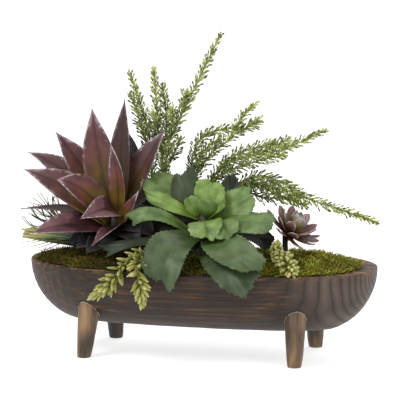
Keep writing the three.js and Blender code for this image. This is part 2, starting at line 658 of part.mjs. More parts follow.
// Thin stems set with short needles that point outwards and towards the tip.
function spray(plant, seed, others) {
  const random = randomStream(seed);
  const pieces = [thinPeg(plant, plant.branches[0][0][2] + 4)];
  plant.branches.forEach((points, index) => {
    const foot = index === 0 ? SPRAY_STEM.main : SPRAY_STEM.branch;
    const bare = index === 0 ? SPRAY_STEM.bare : SPRAY_STEM.branchBare;
    const { body, curve } = stem(points, { ...SPRAY_STEM, foot });
    const needles = [];
    const count = Math.round((curve.getLength() * (1 - bare)) / NEEDLE.spacing);
    for (let i = 0; i < count; i += 1) {
      const at = bare + ((1 - bare) * (i + 0.6)) / count;
      const lean = radians(NEEDLE.lean * (1 - 0.5 * at ** 8) + 14 * (random() - 0.5));
      const direction = leaning(curve.getTangentAt(at), i * GOLDEN_ANGLE + random(), lean);
      const length = NEEDLE.length * (0.85 + 0.3 * random()) * (1 - 0.35 * at ** 6);
      needles.push(spindle(curve.getPointAt(at), direction, length, NEEDLE));
    }
    pieces.push(body, ...apart(needles, others));
  });
  return joined(pieces);
}

// A bundle of blunt blades that lean out over the bowl's end, with thin ones below them.
function tuft() {
  const { root, stemRadius, foot, middle, tip, radius, blades, thin } = TUFT;
  const random = randomStream(71);
  const pieces = [peg(root, stemRadius, foot[2] + 8)];
  for (let i = 0; i < blades; i += 1) {
    const turn = i * GOLDEN_ANGLE;
    const out = radius * Math.sqrt((i + 0.5) / blades);
    const beside = new THREE.Vector3(0, Math.cos(turn), Math.sin(turn)).multiplyScalar(out);
    const points = [foot, middle, tip].map((point) => vector(point).add(beside));
    points[2].x += 14 * random() - 5;
    pieces.push(stem(points.map((point) => point.toArray()), TUFT.blade).body);
  }
  for (const end of thin) {
    const bend = vector(foot).lerp(vector(end), 0.5);
    pieces.push(stem([foot, [bend.x, bend.y, bend.z + 8], end], TUFT.thinBlade).body);
  }
  return joined(pieces);
}

function curledStrands() {
  const { foot, branches } = STRANDS;
  const bodies = branches.map((points) => stem([foot, ...points], STRANDS.strand).body);
  return joined([thinPeg(STRANDS, foot[2] + 3), ...bodies]);
}

const stems = [
  ...[AGAVE, ROSETTE, ECHEVERIA, TUFT].map(({ root, stemRadius }) => ({ root, radius: stemRadius })),
  ...[SEDUM_LONG, SEDUM_SHORT, SEDUM_RIGHT, STRANDS, ...Object.values(SPRAYS)]
    .map(({ root }) => ({ root, radius: PEG.thin })),
];

const model = new THREE.Group();
const standing = [];

function add(name, body, material) {
  standing.push(body);
  model.add(namedMesh(name, body, material));
}

add('bowl', bowl(), MATERIALS.wood);
for (const [name, spec] of Object.entries(LEGS)) add(name, leg(spec), MATERIALS.wood);
add('foam', drilled(foam(), stems), MATERIALS.foam);
add('moss', drilled(moss(), stems), MATERIALS.moss);
add('agave', agave(), MATERIALS.burgundy);
add('green_rosette', greenRosette(), MATERIALS.green);
add('small_echeveria', echeveria(), MATERIALS.mauve);
add('sprig_left', tuft(), MATERIALS.needle);
add('twigs_left', curledStrands(), MATERIALS.twig);
add('sedum_long', trailingSedum(SEDUM_LONG, 28, 3, standing), MATERIALS.yellowGreen);
add('sedum_short', trailingSedum(SEDUM_SHORT, 26, 5, standing), MATERIALS.yellowGreen);
add('sedum_right', packedSedum(SEDUM_RIGHT, 18, 7, standing), MATERIALS.yellowGreen);
Object.entries(SPRAYS).forEach(([name, plant], index) => {
  add(name, spray(plant, 11 + index, standing), MATERIALS.needle);
});

// The origin is on the ground under the middle of the whole piece.
const box = new THREE.Box3().setFromObject(model);
const middle = box.getCenter(new THREE.Vector3());
model.position.set(-middle.x, -middle.y, -box.min.z);
model.updateMatrixWorld(true);

export default model;
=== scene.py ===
# %% [markdown]
# # A dish garden of faux succulents
# A long bowl carved from half a log stands on four pegs. Moss covers the foam inside it, and the
# foam holds a burgundy agave, a big wavy green rosette, a small mauve echeveria, three sedum stems,
# sprays of heather-like needles, a tuft of olive blades and a bunch of fine curled strands. The
# solids made for the shop are plain and exact. This lesson dresses them, piece by piece, in finer
# shapes and in materials made of nodes.

import math

import bpy
import numpy as np
from mathutils import Matrix, Vector, noise


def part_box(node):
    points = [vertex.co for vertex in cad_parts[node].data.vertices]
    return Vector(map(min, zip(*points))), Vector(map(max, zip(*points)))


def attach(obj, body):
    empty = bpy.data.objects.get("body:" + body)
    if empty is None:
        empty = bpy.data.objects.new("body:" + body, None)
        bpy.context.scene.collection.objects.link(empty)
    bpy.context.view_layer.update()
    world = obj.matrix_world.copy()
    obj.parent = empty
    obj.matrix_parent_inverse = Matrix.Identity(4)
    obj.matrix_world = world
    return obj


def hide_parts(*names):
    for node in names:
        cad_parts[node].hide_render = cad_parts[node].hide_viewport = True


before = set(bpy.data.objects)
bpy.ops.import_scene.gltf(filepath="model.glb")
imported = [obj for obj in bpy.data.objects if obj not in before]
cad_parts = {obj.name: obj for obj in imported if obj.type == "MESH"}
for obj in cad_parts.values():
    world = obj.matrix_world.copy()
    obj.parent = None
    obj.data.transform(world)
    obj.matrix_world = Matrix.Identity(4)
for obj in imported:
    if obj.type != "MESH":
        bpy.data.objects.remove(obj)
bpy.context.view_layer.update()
bpy.ops.object.select_all(action="DESELECT")

# %% [markdown]
# ## Sizes
# Everything is measured in millimetres from the middle of the bowl, on the ground, because that is
# how a maker would measure it. One function turns such a point into the scene's metres.

# %% Millimetres from the bowl's middle
MM = 0.001
bowl_low, bowl_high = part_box("bowl")
MIDDLE = Vector(((bowl_low.x + bowl_high.x) / 2, (bowl_low.y + bowl_high.y) / 2, 0))
BOWL_LENGTH = (bowl_high.x - bowl_low.x) / MM
BOWL_WIDTH = (bowl_high.y - bowl_low.y) / MM
RIM = bowl_high.z / MM
BOWL_BOTTOM = bowl_low.z / MM


def put_in_place(obj):
    """Moves a mesh made in millimetres round the bowl's middle to its place, in metres."""
    obj.data.transform(Matrix.Translation(MIDDLE) @ Matrix.Scale(MM, 4))


print(f"bowl {BOWL_LENGTH:.1f} x {BOWL_WIDTH:.1f} mm, rim at {RIM:.1f} mm")

# %% [markdown]
# ## Camera, floor and light
# The photo was taken with a long lens, from a little above the rim and a little to the right of
# the front. A long lens keeps the far legs nearly as big as the near ones. The floor and the light
# are those of a plain white studio: a bright sky from all round, a big soft lamp from the upper
# left and a weak one from the right.

# %% Camera
# The turn and the rise are in radians.
CAMERA_TURN, CAMERA_RISE, CAMERA_DISTANCE = 0.233, 0.157, 5530
LENS_LENGTH, FILM_WIDTH = 288, 36
LOOK_AT = Vector((-5.76, 0, 267.5))
back = Vector((
    math.sin(CAMERA_TURN) * math.cos(CAMERA_RISE),
    -math.cos(CAMERA_TURN) * math.cos(CAMERA_RISE),
    math.sin(CAMERA_RISE),
))
bpy.ops.object.camera_add(
    location=MIDDLE + (LOOK_AT + back * CAMERA_DISTANCE) * MM,
    rotation=(-back).to_track_quat("-Z", "Y").to_euler(),
)
camera = bpy.context.object
camera.name = "camera"
camera.data.sensor_width = FILM_WIDTH
camera.data.lens = LENS_LENGTH
camera.data.clip_end = 60
bpy.context.scene.camera = camera
bpy.context.scene.view_settings.view_transform = "Standard"
print("camera at", camera.location)

# %% Colours and nodes


def linear(text):
    """Turns a hex sRGB colour into the linear values that shaders take."""
    parts = [int(text[i:i + 2], 16) / 255 for i in (1, 3, 5)]
    return [c / 12.92 if c <= 0.04045 else ((c + 0.055) / 1.055) ** 2.4 for c in parts] + [1.0]


def set_inputs(node, inputs):
    """Sets a node's inputs, each to a value, a hex colour or another node's output."""
    for name, value in dict(inputs).items():
        if isinstance(value, bpy.types.NodeSocket):
            node.id_data.links.new(value, node.inputs[name])
        else:
            node.inputs[name].default_value = linear(value) if isinstance(value, str) else value


def add_node(tree, kind, inputs=(), stops=(), **settings):
    """Adds a node with its settings, its inputs and, on a colour ramp, its stops."""
    node = tree.nodes.new(kind)
    for name, value in settings.items():
        setattr(node, name, value)
    for number, (place, colour) in enumerate(stops):
        ramp = node.color_ramp.elements
        stop = ramp[number] if number < 2 else ramp.new(place)
        stop.position = place
        stop.color = linear(colour)
    set_inputs(node, inputs)
    return node


def new_material(name, inputs=()):
    """A material with its Principled shader, whose plain values are set on the sockets."""
    material = bpy.data.materials.new(name)
    material.use_nodes = True
    tree = material.node_tree
    tree.nodes.clear()
    shader = add_node(tree, "ShaderNodeBsdfPrincipled", inputs)
    add_node(tree, "ShaderNodeOutputMaterial", {"Surface": shader.outputs[0]})
    return material, tree, shader


print("mid grey in linear values:", linear("#808080"))

# %% Floor, world and lamps
bpy.ops.mesh.primitive_plane_add(size=60, location=(0, 0, 0))
floor = bpy.context.object
floor.name = "floor"
paper, tree, shader = new_material("white_paper_sweep", {
    "Base Color": "#c8c8c8", "Roughness": 0.9, "Specular IOR Level": 0.1,
    "Emission Color": "#ffffff", "Emission Strength": 0.7,
})
floor.data.materials.append(paper)

world = bpy.data.worlds.new("white_studio")
bpy.context.scene.world = world
world.use_nodes = True
set_inputs(world.node_tree.nodes["Background"], {"Color": "#ffffff", "Strength": 0.75})

# A lamp is its name, its place, its size and its power.
LAMPS = [
    ("key_softbox", (-1.3, -1.5, 2.3), 1.1, 42),
    ("fill_softbox", (2.2, -1.6, 1.2), 1.6, 10),
    ("back_softbox", (0.6, 1.9, 2.2), 1.4, 22),
]
for name, place, size, power in LAMPS:
    aim = (MIDDLE + Vector((0, 0, 0.25)) - Vector(place)).to_track_quat("-Z", "Y")
    bpy.ops.object.light_add(type="AREA", location=place, rotation=aim.to_euler())
    lamp = bpy.context.object
    lamp.name = name
    lamp.data.size = size
    lamp.data.energy = power
print("lamps:", [name for name, *_ in LAMPS])

# %% [markdown]
# ## Shaping with rings
# Turned and carved things are rings that grow out of one another. A circle is added, brought to
# its first size, and then extruded and scaled from ring to ring. Bowl, pegs, needles and sedum
# leaves are all made this way.

# %% Rings


def select_only(*objects):
    bpy.ops.object.select_all(action="DESELECT")
    for obj in objects:
        obj.select_set(True)
    bpy.context.view_layer.objects.active = objects[0]


def ringed(name, sides, rings, squareness=2.0):
    """Extrudes a ring along +Z. A ring is its height, half its length and half its width."""
    bpy.ops.mesh.primitive_circle_add(vertices=sides, radius=1, fill_type="NGON")
    shape = bpy.context.object
    shape.name = shape.data.name = name
    for corner in shape.data.vertices:
        for axis in (0, 1):
            corner.co[axis] = math.copysign(abs(corner.co[axis]) ** (2 / squareness), corner.co[axis])
    bpy.ops.object.mode_set(mode="EDIT")
    bpy.ops.mesh.select_all(action="SELECT")
    height, length, width = rings[0]
    bpy.ops.transform.translate(value=(0, 0, height))
    bpy.ops.transform.resize(value=(length, width, 1), center_override=(0, 0, height))
    for next_height, next_length, next_width in rings[1:]:
        bpy.ops.mesh.extrude_region_move(
            TRANSFORM_OT_translate={"value": (0, 0, next_height - height)},
        )
        bpy.ops.transform.resize(
            value=(next_length / length, next_width / width, 1), center_override=(0, 0, next_height),
        )
        height, length, width = next_height, next_length, next_width
    bpy.ops.mesh.select_all(action="SELECT")
    bpy.ops.mesh.normals_make_consistent(inside=False)
    bpy.ops.object.mode_set(mode="OBJECT")
    return shape


# %% Joining and finishing


def apply_modifier(obj, kind, **settings):
    select_only(obj)
    modifier = obj.modifiers.new(kind.lower(), kind)
    for name, value in settings.items():
        setattr(modifier, name, value)
    bpy.ops.object.modifier_apply(modifier=modifier.name)


def joined(name, pieces):
    """Joins pieces in one object, which the others go into."""
    select_only(*pieces)
    if len(pieces) > 1:
        bpy.ops.object.join()
    whole = bpy.context.object
    whole.name = whole.data.name = name
    return whole


def finish_piece(obj, slot, nodes, *materials):
    """Puts a piece in its place, smooths it and hides the solids that it stands for. Its slot is not used."""
    put_in_place(obj)
    if materials:
        obj.data.materials.clear()
        for material in materials:
            obj.data.materials.append(material)
    obj.data.shade_smooth()
    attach(obj, "root")
    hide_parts(*nodes)
    triangles = sum(len(face.vertices) - 2 for face in obj.data.polygons)
    print(f"{obj.name}: {triangles} triangles")


def set_attribute(mesh, name, values):
    """Keeps one number for each vertex, for the materials to read."""
    mesh.attributes.new(name, "FLOAT", "POINT").data.foreach_set("value", np.asarray(values, np.float32))


# %% [markdown]
# ## The bowl
# The real bowl is carved from half a log: its outside swells from a narrow keel to a squarish oval
# rim, and its inside is hollowed with a rounded tool. A Boolean of two blocks would give the shape
# but no rows of points to carve. So one squarish ring is extruded from the keel up to the rim,
# across the rim and down to the floor of the hollow.

# %% Bowl
KEEL_LENGTH, KEEL_WIDTH = 402, 40
SQUARENESS = 2.33
END_WALL, SIDE_WALL = 33, 16
HOLLOW_FLOOR, HOLLOW_NARROWING = 110, 52
RIM_ROUND = 2.5
BOWL_SIDES, BOWL_STEPS = 320, 30
LAST_SWING = math.pi * 0.31


def outside_of_bowl(z):
    """Half the length and half the width of the outside at a height."""
    rise = min(1, max(0, (z - BOWL_BOTTOM) / (RIM - BOWL_BOTTOM)))
    swell = math.sqrt(1 - (1 - rise) ** 2)
    length = KEEL_LENGTH + (BOWL_LENGTH - KEEL_LENGTH) * swell
    width = KEEL_WIDTH + (BOWL_WIDTH - KEEL_WIDTH) * swell
    return length / 2, width / 2


def inside_of_bowl(z):
    """Half the length and half the width of the hollow, which narrows to its floor."""
    narrowing = HOLLOW_NARROWING * max(0, (RIM - z) / (RIM - HOLLOW_FLOOR)) ** 1.7
    return (
        BOWL_LENGTH / 2 - END_WALL - narrowing * 1.1,
        BOWL_WIDTH / 2 - SIDE_WALL - narrowing * 0.8,
    )


bowl_rings = []
for step in range(BOWL_STEPS):
    to_go = 1 - math.sin(step / (BOWL_STEPS - 1) * LAST_SWING) / math.sin(LAST_SWING)
    z = RIM - RIM_ROUND - (RIM - RIM_ROUND - BOWL_BOTTOM) * to_go
    bowl_rings.append((z, *outside_of_bowl(z)))
top_length, top_width = outside_of_bowl(RIM)
bowl_rings.append((RIM - 0.8, top_length - 0.7, top_width - 0.7))
bowl_rings.append((RIM, top_length - RIM_ROUND, top_width - RIM_ROUND))
hollow_length, hollow_width = inside_of_bowl(RIM)
for share in (0.25, 0.5, 0.75):
    bowl_rings.append((
        RIM, top_length + (hollow_length + 10 - top_length) * share,
        top_width + (hollow_width + 3 - top_width) * share,
    ))
bowl_rings.append((RIM - 0.3, hollow_length + 9, hollow_width + 2.2))
for z in (RIM - 2, RIM - 4, RIM - 8, RIM - 14, 140, 132, 124, 117, 112, HOLLOW_FLOOR):
    bowl_rings.append((z, *inside_of_bowl(z)))
bowl = ringed("bowl_wood", BOWL_SIDES, bowl_rings, SQUARENESS)
print("rings in the bowl:", len(bowl_rings))

# %% [markdown]
# Each peg stands in a blind hole. The holes are cut with a Boolean, by cones a little fatter than
# the pegs, before the surface is roughened, so that the cutter meets clean faces.

# %% Sockets
PEG_FOOT, PEG_TOP, PEG_HEIGHT = 12, 20.5, 103
SOCKET_PLAY = 0.4
LEGS = {
    "leg_front_left": ((-190.5, -90), (-181, -80)),
    "leg_front_right": ((180.5, -90), (180.5, -80)),
    "leg_back_left": ((-180.5, 90), (-181, 80)),
    "leg_back_right": ((181.5, 90), (180.5, 80)),
}


def peg_radius(z):
    return PEG_FOOT + (PEG_TOP - PEG_FOOT) * (z / PEG_HEIGHT) ** 0.85


def peg_axis(foot, top, z):
    """Where the middle of a peg is at a height."""
    rise = z / PEG_HEIGHT
    return foot[0] + (top[0] - foot[0]) * rise, foot[1] + (top[1] - foot[1]) * rise


def leaned(shape, foot, top):
    """Slides each height of an upright shape sideways, from the foot's place to the top's."""
    for corner in shape.data.vertices:
        corner.co += Vector((*peg_axis(foot, top, corner.co.z), 0))


for foot, top in LEGS.values():
    drill_radii = [(z, peg_radius(z) + SOCKET_PLAY) for z in (30, PEG_HEIGHT + 0.3)]
    drill = ringed("drill", 32, [(z, radius, radius) for z, radius in drill_radii])
    leaned(drill, foot, top)
    apply_modifier(bowl, "BOOLEAN", object=drill, operation="DIFFERENCE", solver="EXACT")
    bpy.data.objects.remove(drill)
print("faces in the bowl:", len(bowl.data.polygons))

# %% [markdown]
# The growth rings of a log are long tubes round its pith. The pith of this half log lay over the
# middle of the rim, so the rings run lengthwise along the sides and show as nested arcs on the two
# rounded ends. Each point keeps its distance from the pith, bent by slow noise. The material
# colours the rings by it, and here the soft part of each ring on the ends is worn a little deeper.

# %% Growth rings and tool marks
PITH_HEIGHT = 160
RING_WIDTH = 9.5


def smooth_step(low, high, value):
    t = min(1, max(0, (value - low) / (high - low)))
    return t * t * (3 - 2 * t)


def wander(x, y, z, size, seed=0):
    """Smooth noise between about -1 and 1, whose lumps are size millimetres across."""
    return noise.noise(Vector((x / size + seed * 7.3, y / size + seed * 3.1, z / size)))


ring_distance, end_grain, moves = [], [], []
for corner in bowl.data.vertices:
    x, y, z = corner.co
    distance = math.hypot(y, z - PITH_HEIGHT) + 6 * wander(x, y, z, 130) + 1.6 * wander(x, y, z, 38, 1)
    end = smooth_step(0.12, 0.45, abs(corner.normal.x)) * (1 if z < RIM - 0.5 else 0.6)
    worn = 0.45 * end * math.sin(distance / RING_WIDTH % 1 * math.pi) ** 2
    carved = 0.5 * wander(x, y, z, 34, 2) + 0.7 * wander(x, y, z, 90, 3)
    ring_distance.append(distance)
    end_grain.append(end)
    moves.append(corner.normal * (carved - worn - 0.3))
for corner, move in zip(bowl.data.vertices, moves):
    corner.co += move
set_attribute(bowl.data, "ring_distance", ring_distance)
set_attribute(bowl.data, "end_grain", end_grain)
print(f"growth rings from {min(ring_distance):.0f} to {max(ring_distance):.0f} mm round the pith")

# %% [markdown]
# A finish is built up as a painter does it, in layers: each layer's colour changes with something,
# such as a height, a growth ring or lumpy noise, and is laid over the last. Two small functions
# hold what all the finishes share: lumps with sizes in millimetres, and the next layer.

# %% Lumps and layers
FACTOR, FIRST, SECOND, MIXED = 0, 6, 7, 2


def lumps(tree, sizes, detail, roughness=0.5):
    """Noise fixed to the object, whose lumps have these sizes in millimetres along X, Y and Z."""
    place = add_node(tree, "ShaderNodeTexCoord").outputs["Object"]
    scale = [1 / (size * MM) for size in sizes]
    place = add_node(tree, "ShaderNodeMapping", {"Vector": place, "Scale": scale}).outputs[0]
    return add_node(
        tree, "ShaderNodeTexNoise", {"Vector": place, "Scale": 1.0, "Detail": detail, "Roughness": roughness},
    ).outputs["Fac"]


def layer(tree, under, over, share=1.0, blend="MULTIPLY"):
    """Lays a colour over another one, or over nothing. The upper one is a hex colour, an output, or
    a pair of what drives it, an output or the name of an attribute, and the stops of its ramp."""
    if isinstance(over, tuple):
        driver, stops = over
        if isinstance(driver, str):
            driver = add_node(tree, "ShaderNodeAttribute", attribute_name=driver).outputs["Fac"]
        over = add_node(tree, "ShaderNodeValToRGB", {"Fac": driver}, stops).outputs["Color"]
    if under is None:
        return over
    inputs = {FACTOR: share, FIRST: under, SECOND: over}
    return add_node(tree, "ShaderNodeMix", inputs, data_type="RGBA", blend_type=blend).outputs[MIXED]


print("lumps of 8 mm come", round(1 / (8 * MM)), "times in a metre")

# %% [markdown]
# The wood is paulownia, carved, stained dark brown, rubbed back and waxed. Stain sits in the soft
# grain and comes off on edges, so the rim shows orange-brown streaks and the weathered right end
# looks grey. The left end lies in shade, and that shade is painted on it: there the darker side
# colour mostly covers the rings. Fine fibres run along the log. The thin wax gives a low sheen,
# with an IOR a little over 1.4.

# %% Stained wood
FIBRE_WIDTH, FIBRE_LENGTH = 1.6, 70
wood, tree, shader = new_material("stained_carved_wood", {"IOR": 1.42})
place = add_node(tree, "ShaderNodeTexCoord").outputs["Object"]
to_the_right, _, height = add_node(tree, "ShaderNodeSeparateXYZ", {0: place}).outputs
fibres = lumps(tree, (FIBRE_LENGTH, FIBRE_WIDTH, FIBRE_WIDTH), 4.0, 0.6)
streaks = lumps(tree, (160, 9, 6), 3.0, 0.65)
distance = add_node(tree, "ShaderNodeAttribute", attribute_name="ring_distance").outputs["Fac"]
end = add_node(tree, "ShaderNodeAttribute", attribute_name="end_grain").outputs["Fac"]
turns = add_node(tree, "ShaderNodeMath", {0: distance, 1: RING_WIDTH}, operation="DIVIDE").outputs[0]
ring = add_node(tree, "ShaderNodeMath", {0: turns}, operation="FRACT").outputs[0]

fine_grain = [(0.36, "#241910"), (0.64, "#9a7f60")]
side = layer(tree, None, (streaks, [
    (0.3, "#20160c"), (0.46, "#302214"), (0.58, "#4a3118"), (0.72, "#80572f"),
]))
side = layer(tree, side, (fibres, fine_grain), 0.5, "OVERLAY")
ends = layer(tree, None, (ring, [
    (0.0, "#2e2823"), (0.12, "#5c5045"), (0.55, "#716459"), (0.86, "#5a4e43"), (1.0, "#362e28"),
]))
ends = layer(tree, ends, (fibres, fine_grain), 0.4, "OVERLAY")
# Painted shade on the left end: the darker side colour mostly covers its rings there.
painted_shade_on_left = add_node(
    tree, "ShaderNodeMapRange", {"Value": to_the_right, "From Min": 0.1, "From Max": -0.1, "To Max": 0.85},
).outputs[0]
near_rim = add_node(
    tree, "ShaderNodeMapRange", {"Value": height, "From Min": (RIM - 9) * MM, "From Max": (RIM - 1) * MM},
).outputs[0]
worn = add_node(
    tree, "ShaderNodeMapRange", {"Value": streaks, "From Min": 0.46, "From Max": 0.6, "To Max": 0.75},
).outputs[0]
worn = add_node(tree, "ShaderNodeMath", {0: worn, 1: near_rim}, operation="MULTIPLY").outputs[0]
ends = layer(tree, ends, side, painted_shade_on_left, "MIX")
grain = layer(tree, side, ends, end, "MIX")
grain = layer(tree, grain, "#94673f", worn, "MIX")
blotches = lumps(tree, (75, 75, 75), 3.0)
grain = layer(tree, grain, (blotches, [(0.34, "#9a8d86"), (0.66, "#ffffff")]), 0.8)
sheen = add_node(tree, "ShaderNodeMapRange", {
    "Value": fibres, "From Min": 0.3, "From Max": 0.7, "To Min": 0.42, "To Max": 0.68,
}).outputs[0]
relief = add_node(tree, "ShaderNodeBump", {"Height": fibres, "Strength": 0.5, "Distance": 0.0008}).outputs[0]
set_inputs(shader, {"Base Color": grain, "Roughness": sheen, "Normal": relief})
finish_piece(bowl, "bowl_wood", ["bowl"], wood)

# %% [markdown]
# ## The four pegs
# The pegs are whittled, not turned: they are a little uneven, and their feet are rounded over.
# Each is the same ring shape with slow noise on it, seeded by its number. They are oiled, not
# stained, so they are paler than the bowl. The back ones stand in the bowl's shade, which is
# painted on them, most on the back left one. Oil gives wood a soft sheen and an IOR near 1.5.

# %% Oiled peg wood
peg_wood, tree, shader = new_material("oiled_peg_wood", {"IOR": 1.5, "Roughness": 0.5})
fibres = lumps(tree, (2.2, 2.2, 60), 4.0, 0.6)
patches = lumps(tree, (14, 14, 90), 2.0)
colour = layer(tree, None, (patches, [(0.36, "#423423"), (0.5, "#705940"), (0.65, "#a1845e")]))
colour = layer(tree, colour, (fibres, [(0.3, "#4a3a30"), (0.7, "#bca892")]), 0.45, "OVERLAY")
# Painted shade: pegs in the bowl's shade are darkened towards this grey brown, most on the back left one.
colour = layer(tree, colour, ("peg_shading", [(0.0, "#7a7064"), (1.0, "#ffffff")]))
relief = add_node(tree, "ShaderNodeBump", {"Height": fibres, "Strength": 0.4, "Distance": 0.0008}).outputs[0]
set_inputs(shader, {"Base Color": colour, "Normal": relief})
print("nodes in the peg wood:", len(tree.nodes))

# %% Pegs
FOOT_ROUND = 1.5
# How much of the bowl's shade is painted on each peg: 1 is none, 0 the most.
PEG_SHADING = {"leg_front_left": 0.9, "leg_front_right": 1.0, "leg_back_left": 0.0, "leg_back_right": 0.5}
peg_rings = [(0, PEG_FOOT - FOOT_ROUND), (0.45, PEG_FOOT - 0.5), (FOOT_ROUND, PEG_FOOT)]
peg_rings += [(z, peg_radius(z)) for z in range(6, 100, 5)] + [(PEG_HEIGHT, PEG_TOP)]
for number, (name, (foot, top)) in enumerate(LEGS.items()):
    peg = ringed(name + "_peg", 40, [(z, radius, radius) for z, radius in peg_rings])
    for corner in peg.data.vertices:
        x, y, z = corner.co
        if z > 0:
            whittled = 0.55 * wander(x, y, z, 15, number + 5) + 0.5 * wander(x, y, z / 3, 9, number + 9)
            corner.co += Vector((x, y, 0)).normalized() * whittled * min(1, z / 8)
    set_attribute(peg.data, "peg_shading", np.full(len(peg.data.vertices), PEG_SHADING[name]))
    leaned(peg, foot, top)
    finish_piece(peg, "leg_wood", [name], peg_wood)

# %% [markdown]
# A bead of wood filler shows round each joint, as a thin pale line where peg and bowl meet. The
# line is where a ring round the peg comes to the bowl's outside, so each of its points is found by
# going up the peg until the bowl begins.

# %% Where a peg meets the bowl


def in_bowl(x, y, z):
    """Whether a point lies inside the bowl's outer form."""
    if z < BOWL_BOTTOM:
        return False
    length, width = outside_of_bowl(z)
    return abs(x / length) ** SQUARENESS + abs(y / width) ** SQUARENESS < 1


def joint_line(foot, top, points=48):
    """A closed line round a peg, where its skin meets the bowl."""
    line = []
    for step in range(points):
        angle = step / points * 2 * math.pi
        z = BOWL_BOTTOM - 2
        while z < PEG_HEIGHT:
            x, y = peg_axis(foot, top, z)
            x += (peg_radius(z) + 0.3) * math.cos(angle)
            y += (peg_radius(z) + 0.3) * math.sin(angle)
            if in_bowl(x, y, z):
                break
            z += 0.25
        line.append((x, y, z - 0.3))
    return line


heights = [z for _, _, z in joint_line(*LEGS["leg_front_left"])]
print(f"the front left joint runs from {min(heights):.0f} to {max(heights):.0f} mm above the ground")

# %% Filler beads
BEAD_RADIUS = 0.9
filler, tree, shader = new_material("grey_wood_filler", {"Roughness": 0.7})
crumbs = lumps(tree, (6, 6, 6), 2.0)
set_inputs(shader, {"Base Color": layer(tree, None, (crumbs, [(0.35, "#5b4f47"), (0.65, "#a39a92")]))})


def tube(name, points, radii, sides=6, closed=False):
    """A round cord along points, made from a curve with a bevel."""
    curve = bpy.data.curves.new(name, "CURVE")
    curve.dimensions = "3D"
    curve.bevel_depth = 1
    curve.bevel_resolution = max(0, sides // 2 - 2)
    curve.use_fill_caps = not closed
    spline = curve.splines.new("POLY")
    spline.points.add(len(points) - 1)
    for knot, point, radius in zip(spline.points, points, radii):
        knot.co = (*point, 1)
        knot.radius = radius
    spline.use_cyclic_u = closed
    obj = bpy.data.objects.new(name, curve)
    bpy.context.collection.objects.link(obj)
    select_only(obj)
    bpy.ops.object.convert(target="MESH")
    return bpy.context.object


beads = []
for foot, top in LEGS.values():
    line = joint_line(foot, top)
    radii = [BEAD_RADIUS * (0.8 + 0.5 * wander(*point, 12, 4)) for point in line]
    beads.append(tube("bead", line, radii, 8, closed=True))
finish_piece(joined("filler_beads", beads), "leg_wood", [], filler)

# %% [markdown]
# ## Foam
# Dry floral foam fills the hollow, and every stem is pushed into it. It is hidden by the moss, so
# its solid stays as it is and only gets the look of foam: brown, matt and full of tiny cells.

# %% Foam
foam_finish, tree, shader = new_material("brown_floral_foam", {"Roughness": 0.95})
place = add_node(tree, "ShaderNodeTexCoord").outputs["Object"]
cells = add_node(tree, "ShaderNodeTexVoronoi", {"Vector": place, "Scale": 1000 / 2.5}).outputs["Distance"]
pores = add_node(tree, "ShaderNodeBump", {"Height": cells, "Strength": 0.6, "Distance": 0.001}).outputs[0]
colour = layer(tree, None, (cells, [(0.0, "#3d3024"), (0.6, "#6b5844")]))
set_inputs(shader, {"Base Color": colour, "Normal": pores})
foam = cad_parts["foam"]
foam.data.materials.clear()
foam.data.materials.append(foam_finish)
print("foam keeps its solid")

# %% [markdown]
# ## Copies
# Needles, moss strands and sedum leaves repeat by the thousand. One is modelled, a unit long and
# on its root, and a single mesh then holds all its copies, each turned, sized and placed by its
# own numbers. Every copy also carries three numbers for the materials: how far up the copy a point
# is, how far along the stem the copy sits, and a random tint.

# %% Copying a small model


def unit(vectors):
    """The same directions, each one unit long."""
    return vectors / np.linalg.norm(vectors, axis=-1, keepdims=True)


def copies(name, model, roots, directions, lengths, widths, life, seed):
    """One mesh of many copies of a small model, which stands on its root along +Z."""
    random = np.random.RandomState(seed)
    count = len(roots)
    shape = np.array([corner.co for corner in model.data.vertices])
    faces = [list(face.vertices) for face in model.data.polygons]
    upward = unit(np.array(directions, float))
    sideways = unit(np.cross(upward, unit(random.normal(size=(count, 3)))))
    third = np.cross(upward, sideways)
    widths = np.broadcast_to(widths, count)[:, None, None]
    lengths = np.broadcast_to(lengths, count)[:, None, None]
    points = (
        np.array(roots, float)[:, None]
        + sideways[:, None] * shape[None, :, :1] * widths
        + third[:, None] * shape[None, :, 1:2] * widths
        + upward[:, None] * shape[None, :, 2:] * lengths
    )
    all_faces = [[corner + copy * len(shape) for corner in face] for copy in range(count) for face in faces]
    mesh = bpy.data.meshes.new(name)
    mesh.from_pydata(points.reshape(-1, 3).tolist(), [], all_faces)
    set_attribute(mesh, "up", np.tile(shape[:, 2], count))
    set_attribute(mesh, "life", np.repeat(np.broadcast_to(life, count), len(shape)))
    set_attribute(mesh, "tint", np.repeat(random.random_sample(count), len(shape)))
    obj = bpy.data.objects.new(name, mesh)
    bpy.context.collection.objects.link(obj)
    return obj


def plain_attributes(obj, up, life, tint):
    """Gives a stem or a mat the same three numbers, all over."""
    for name, value in (("up", up), ("life", life), ("tint", tint)):
        set_attribute(obj.data, name, np.full(len(obj.data.vertices), value))
    return obj


print("a direction one unit long:", unit(np.array([3.0, 0.0, 4.0])))

# %% [markdown]
# ## Moss
# Dried sheet moss lies on the foam, pulled up in a mound on the right. Seen close it is a tangle of
# short curled strands, bright at their tips and brown and dark below. The mat is a set of shrinking
# rings pushed up into lumps, and thousands of curled strands grow out of it.

# %% Moss
MOSS_LOW, MOSS_CROWN, MOSS_MIDDLE = 145.3, 9, (-7, -8)
MOUND_AT, MOUND_REACH, MOUND_HEIGHT = (195, 5), (100, 75), 15
MAT_SIDES, MAT_STEPS = 180, 40
STRANDS = 8200
below_rim = [half - 1.2 for half in inside_of_bowl(RIM)]
edge_length, edge_width = below_rim[0] + 10, below_rim[1] + 4.5


def across_moss(x, y):
    """0 in the middle of the moss and 1 at its edge."""
    along, over = (x - MOSS_MIDDLE[0]) / edge_length, (y - MOSS_MIDDLE[1]) / edge_width
    return (abs(along) ** SQUARENESS + abs(over) ** SQUARENESS) ** (1 / SQUARENESS)


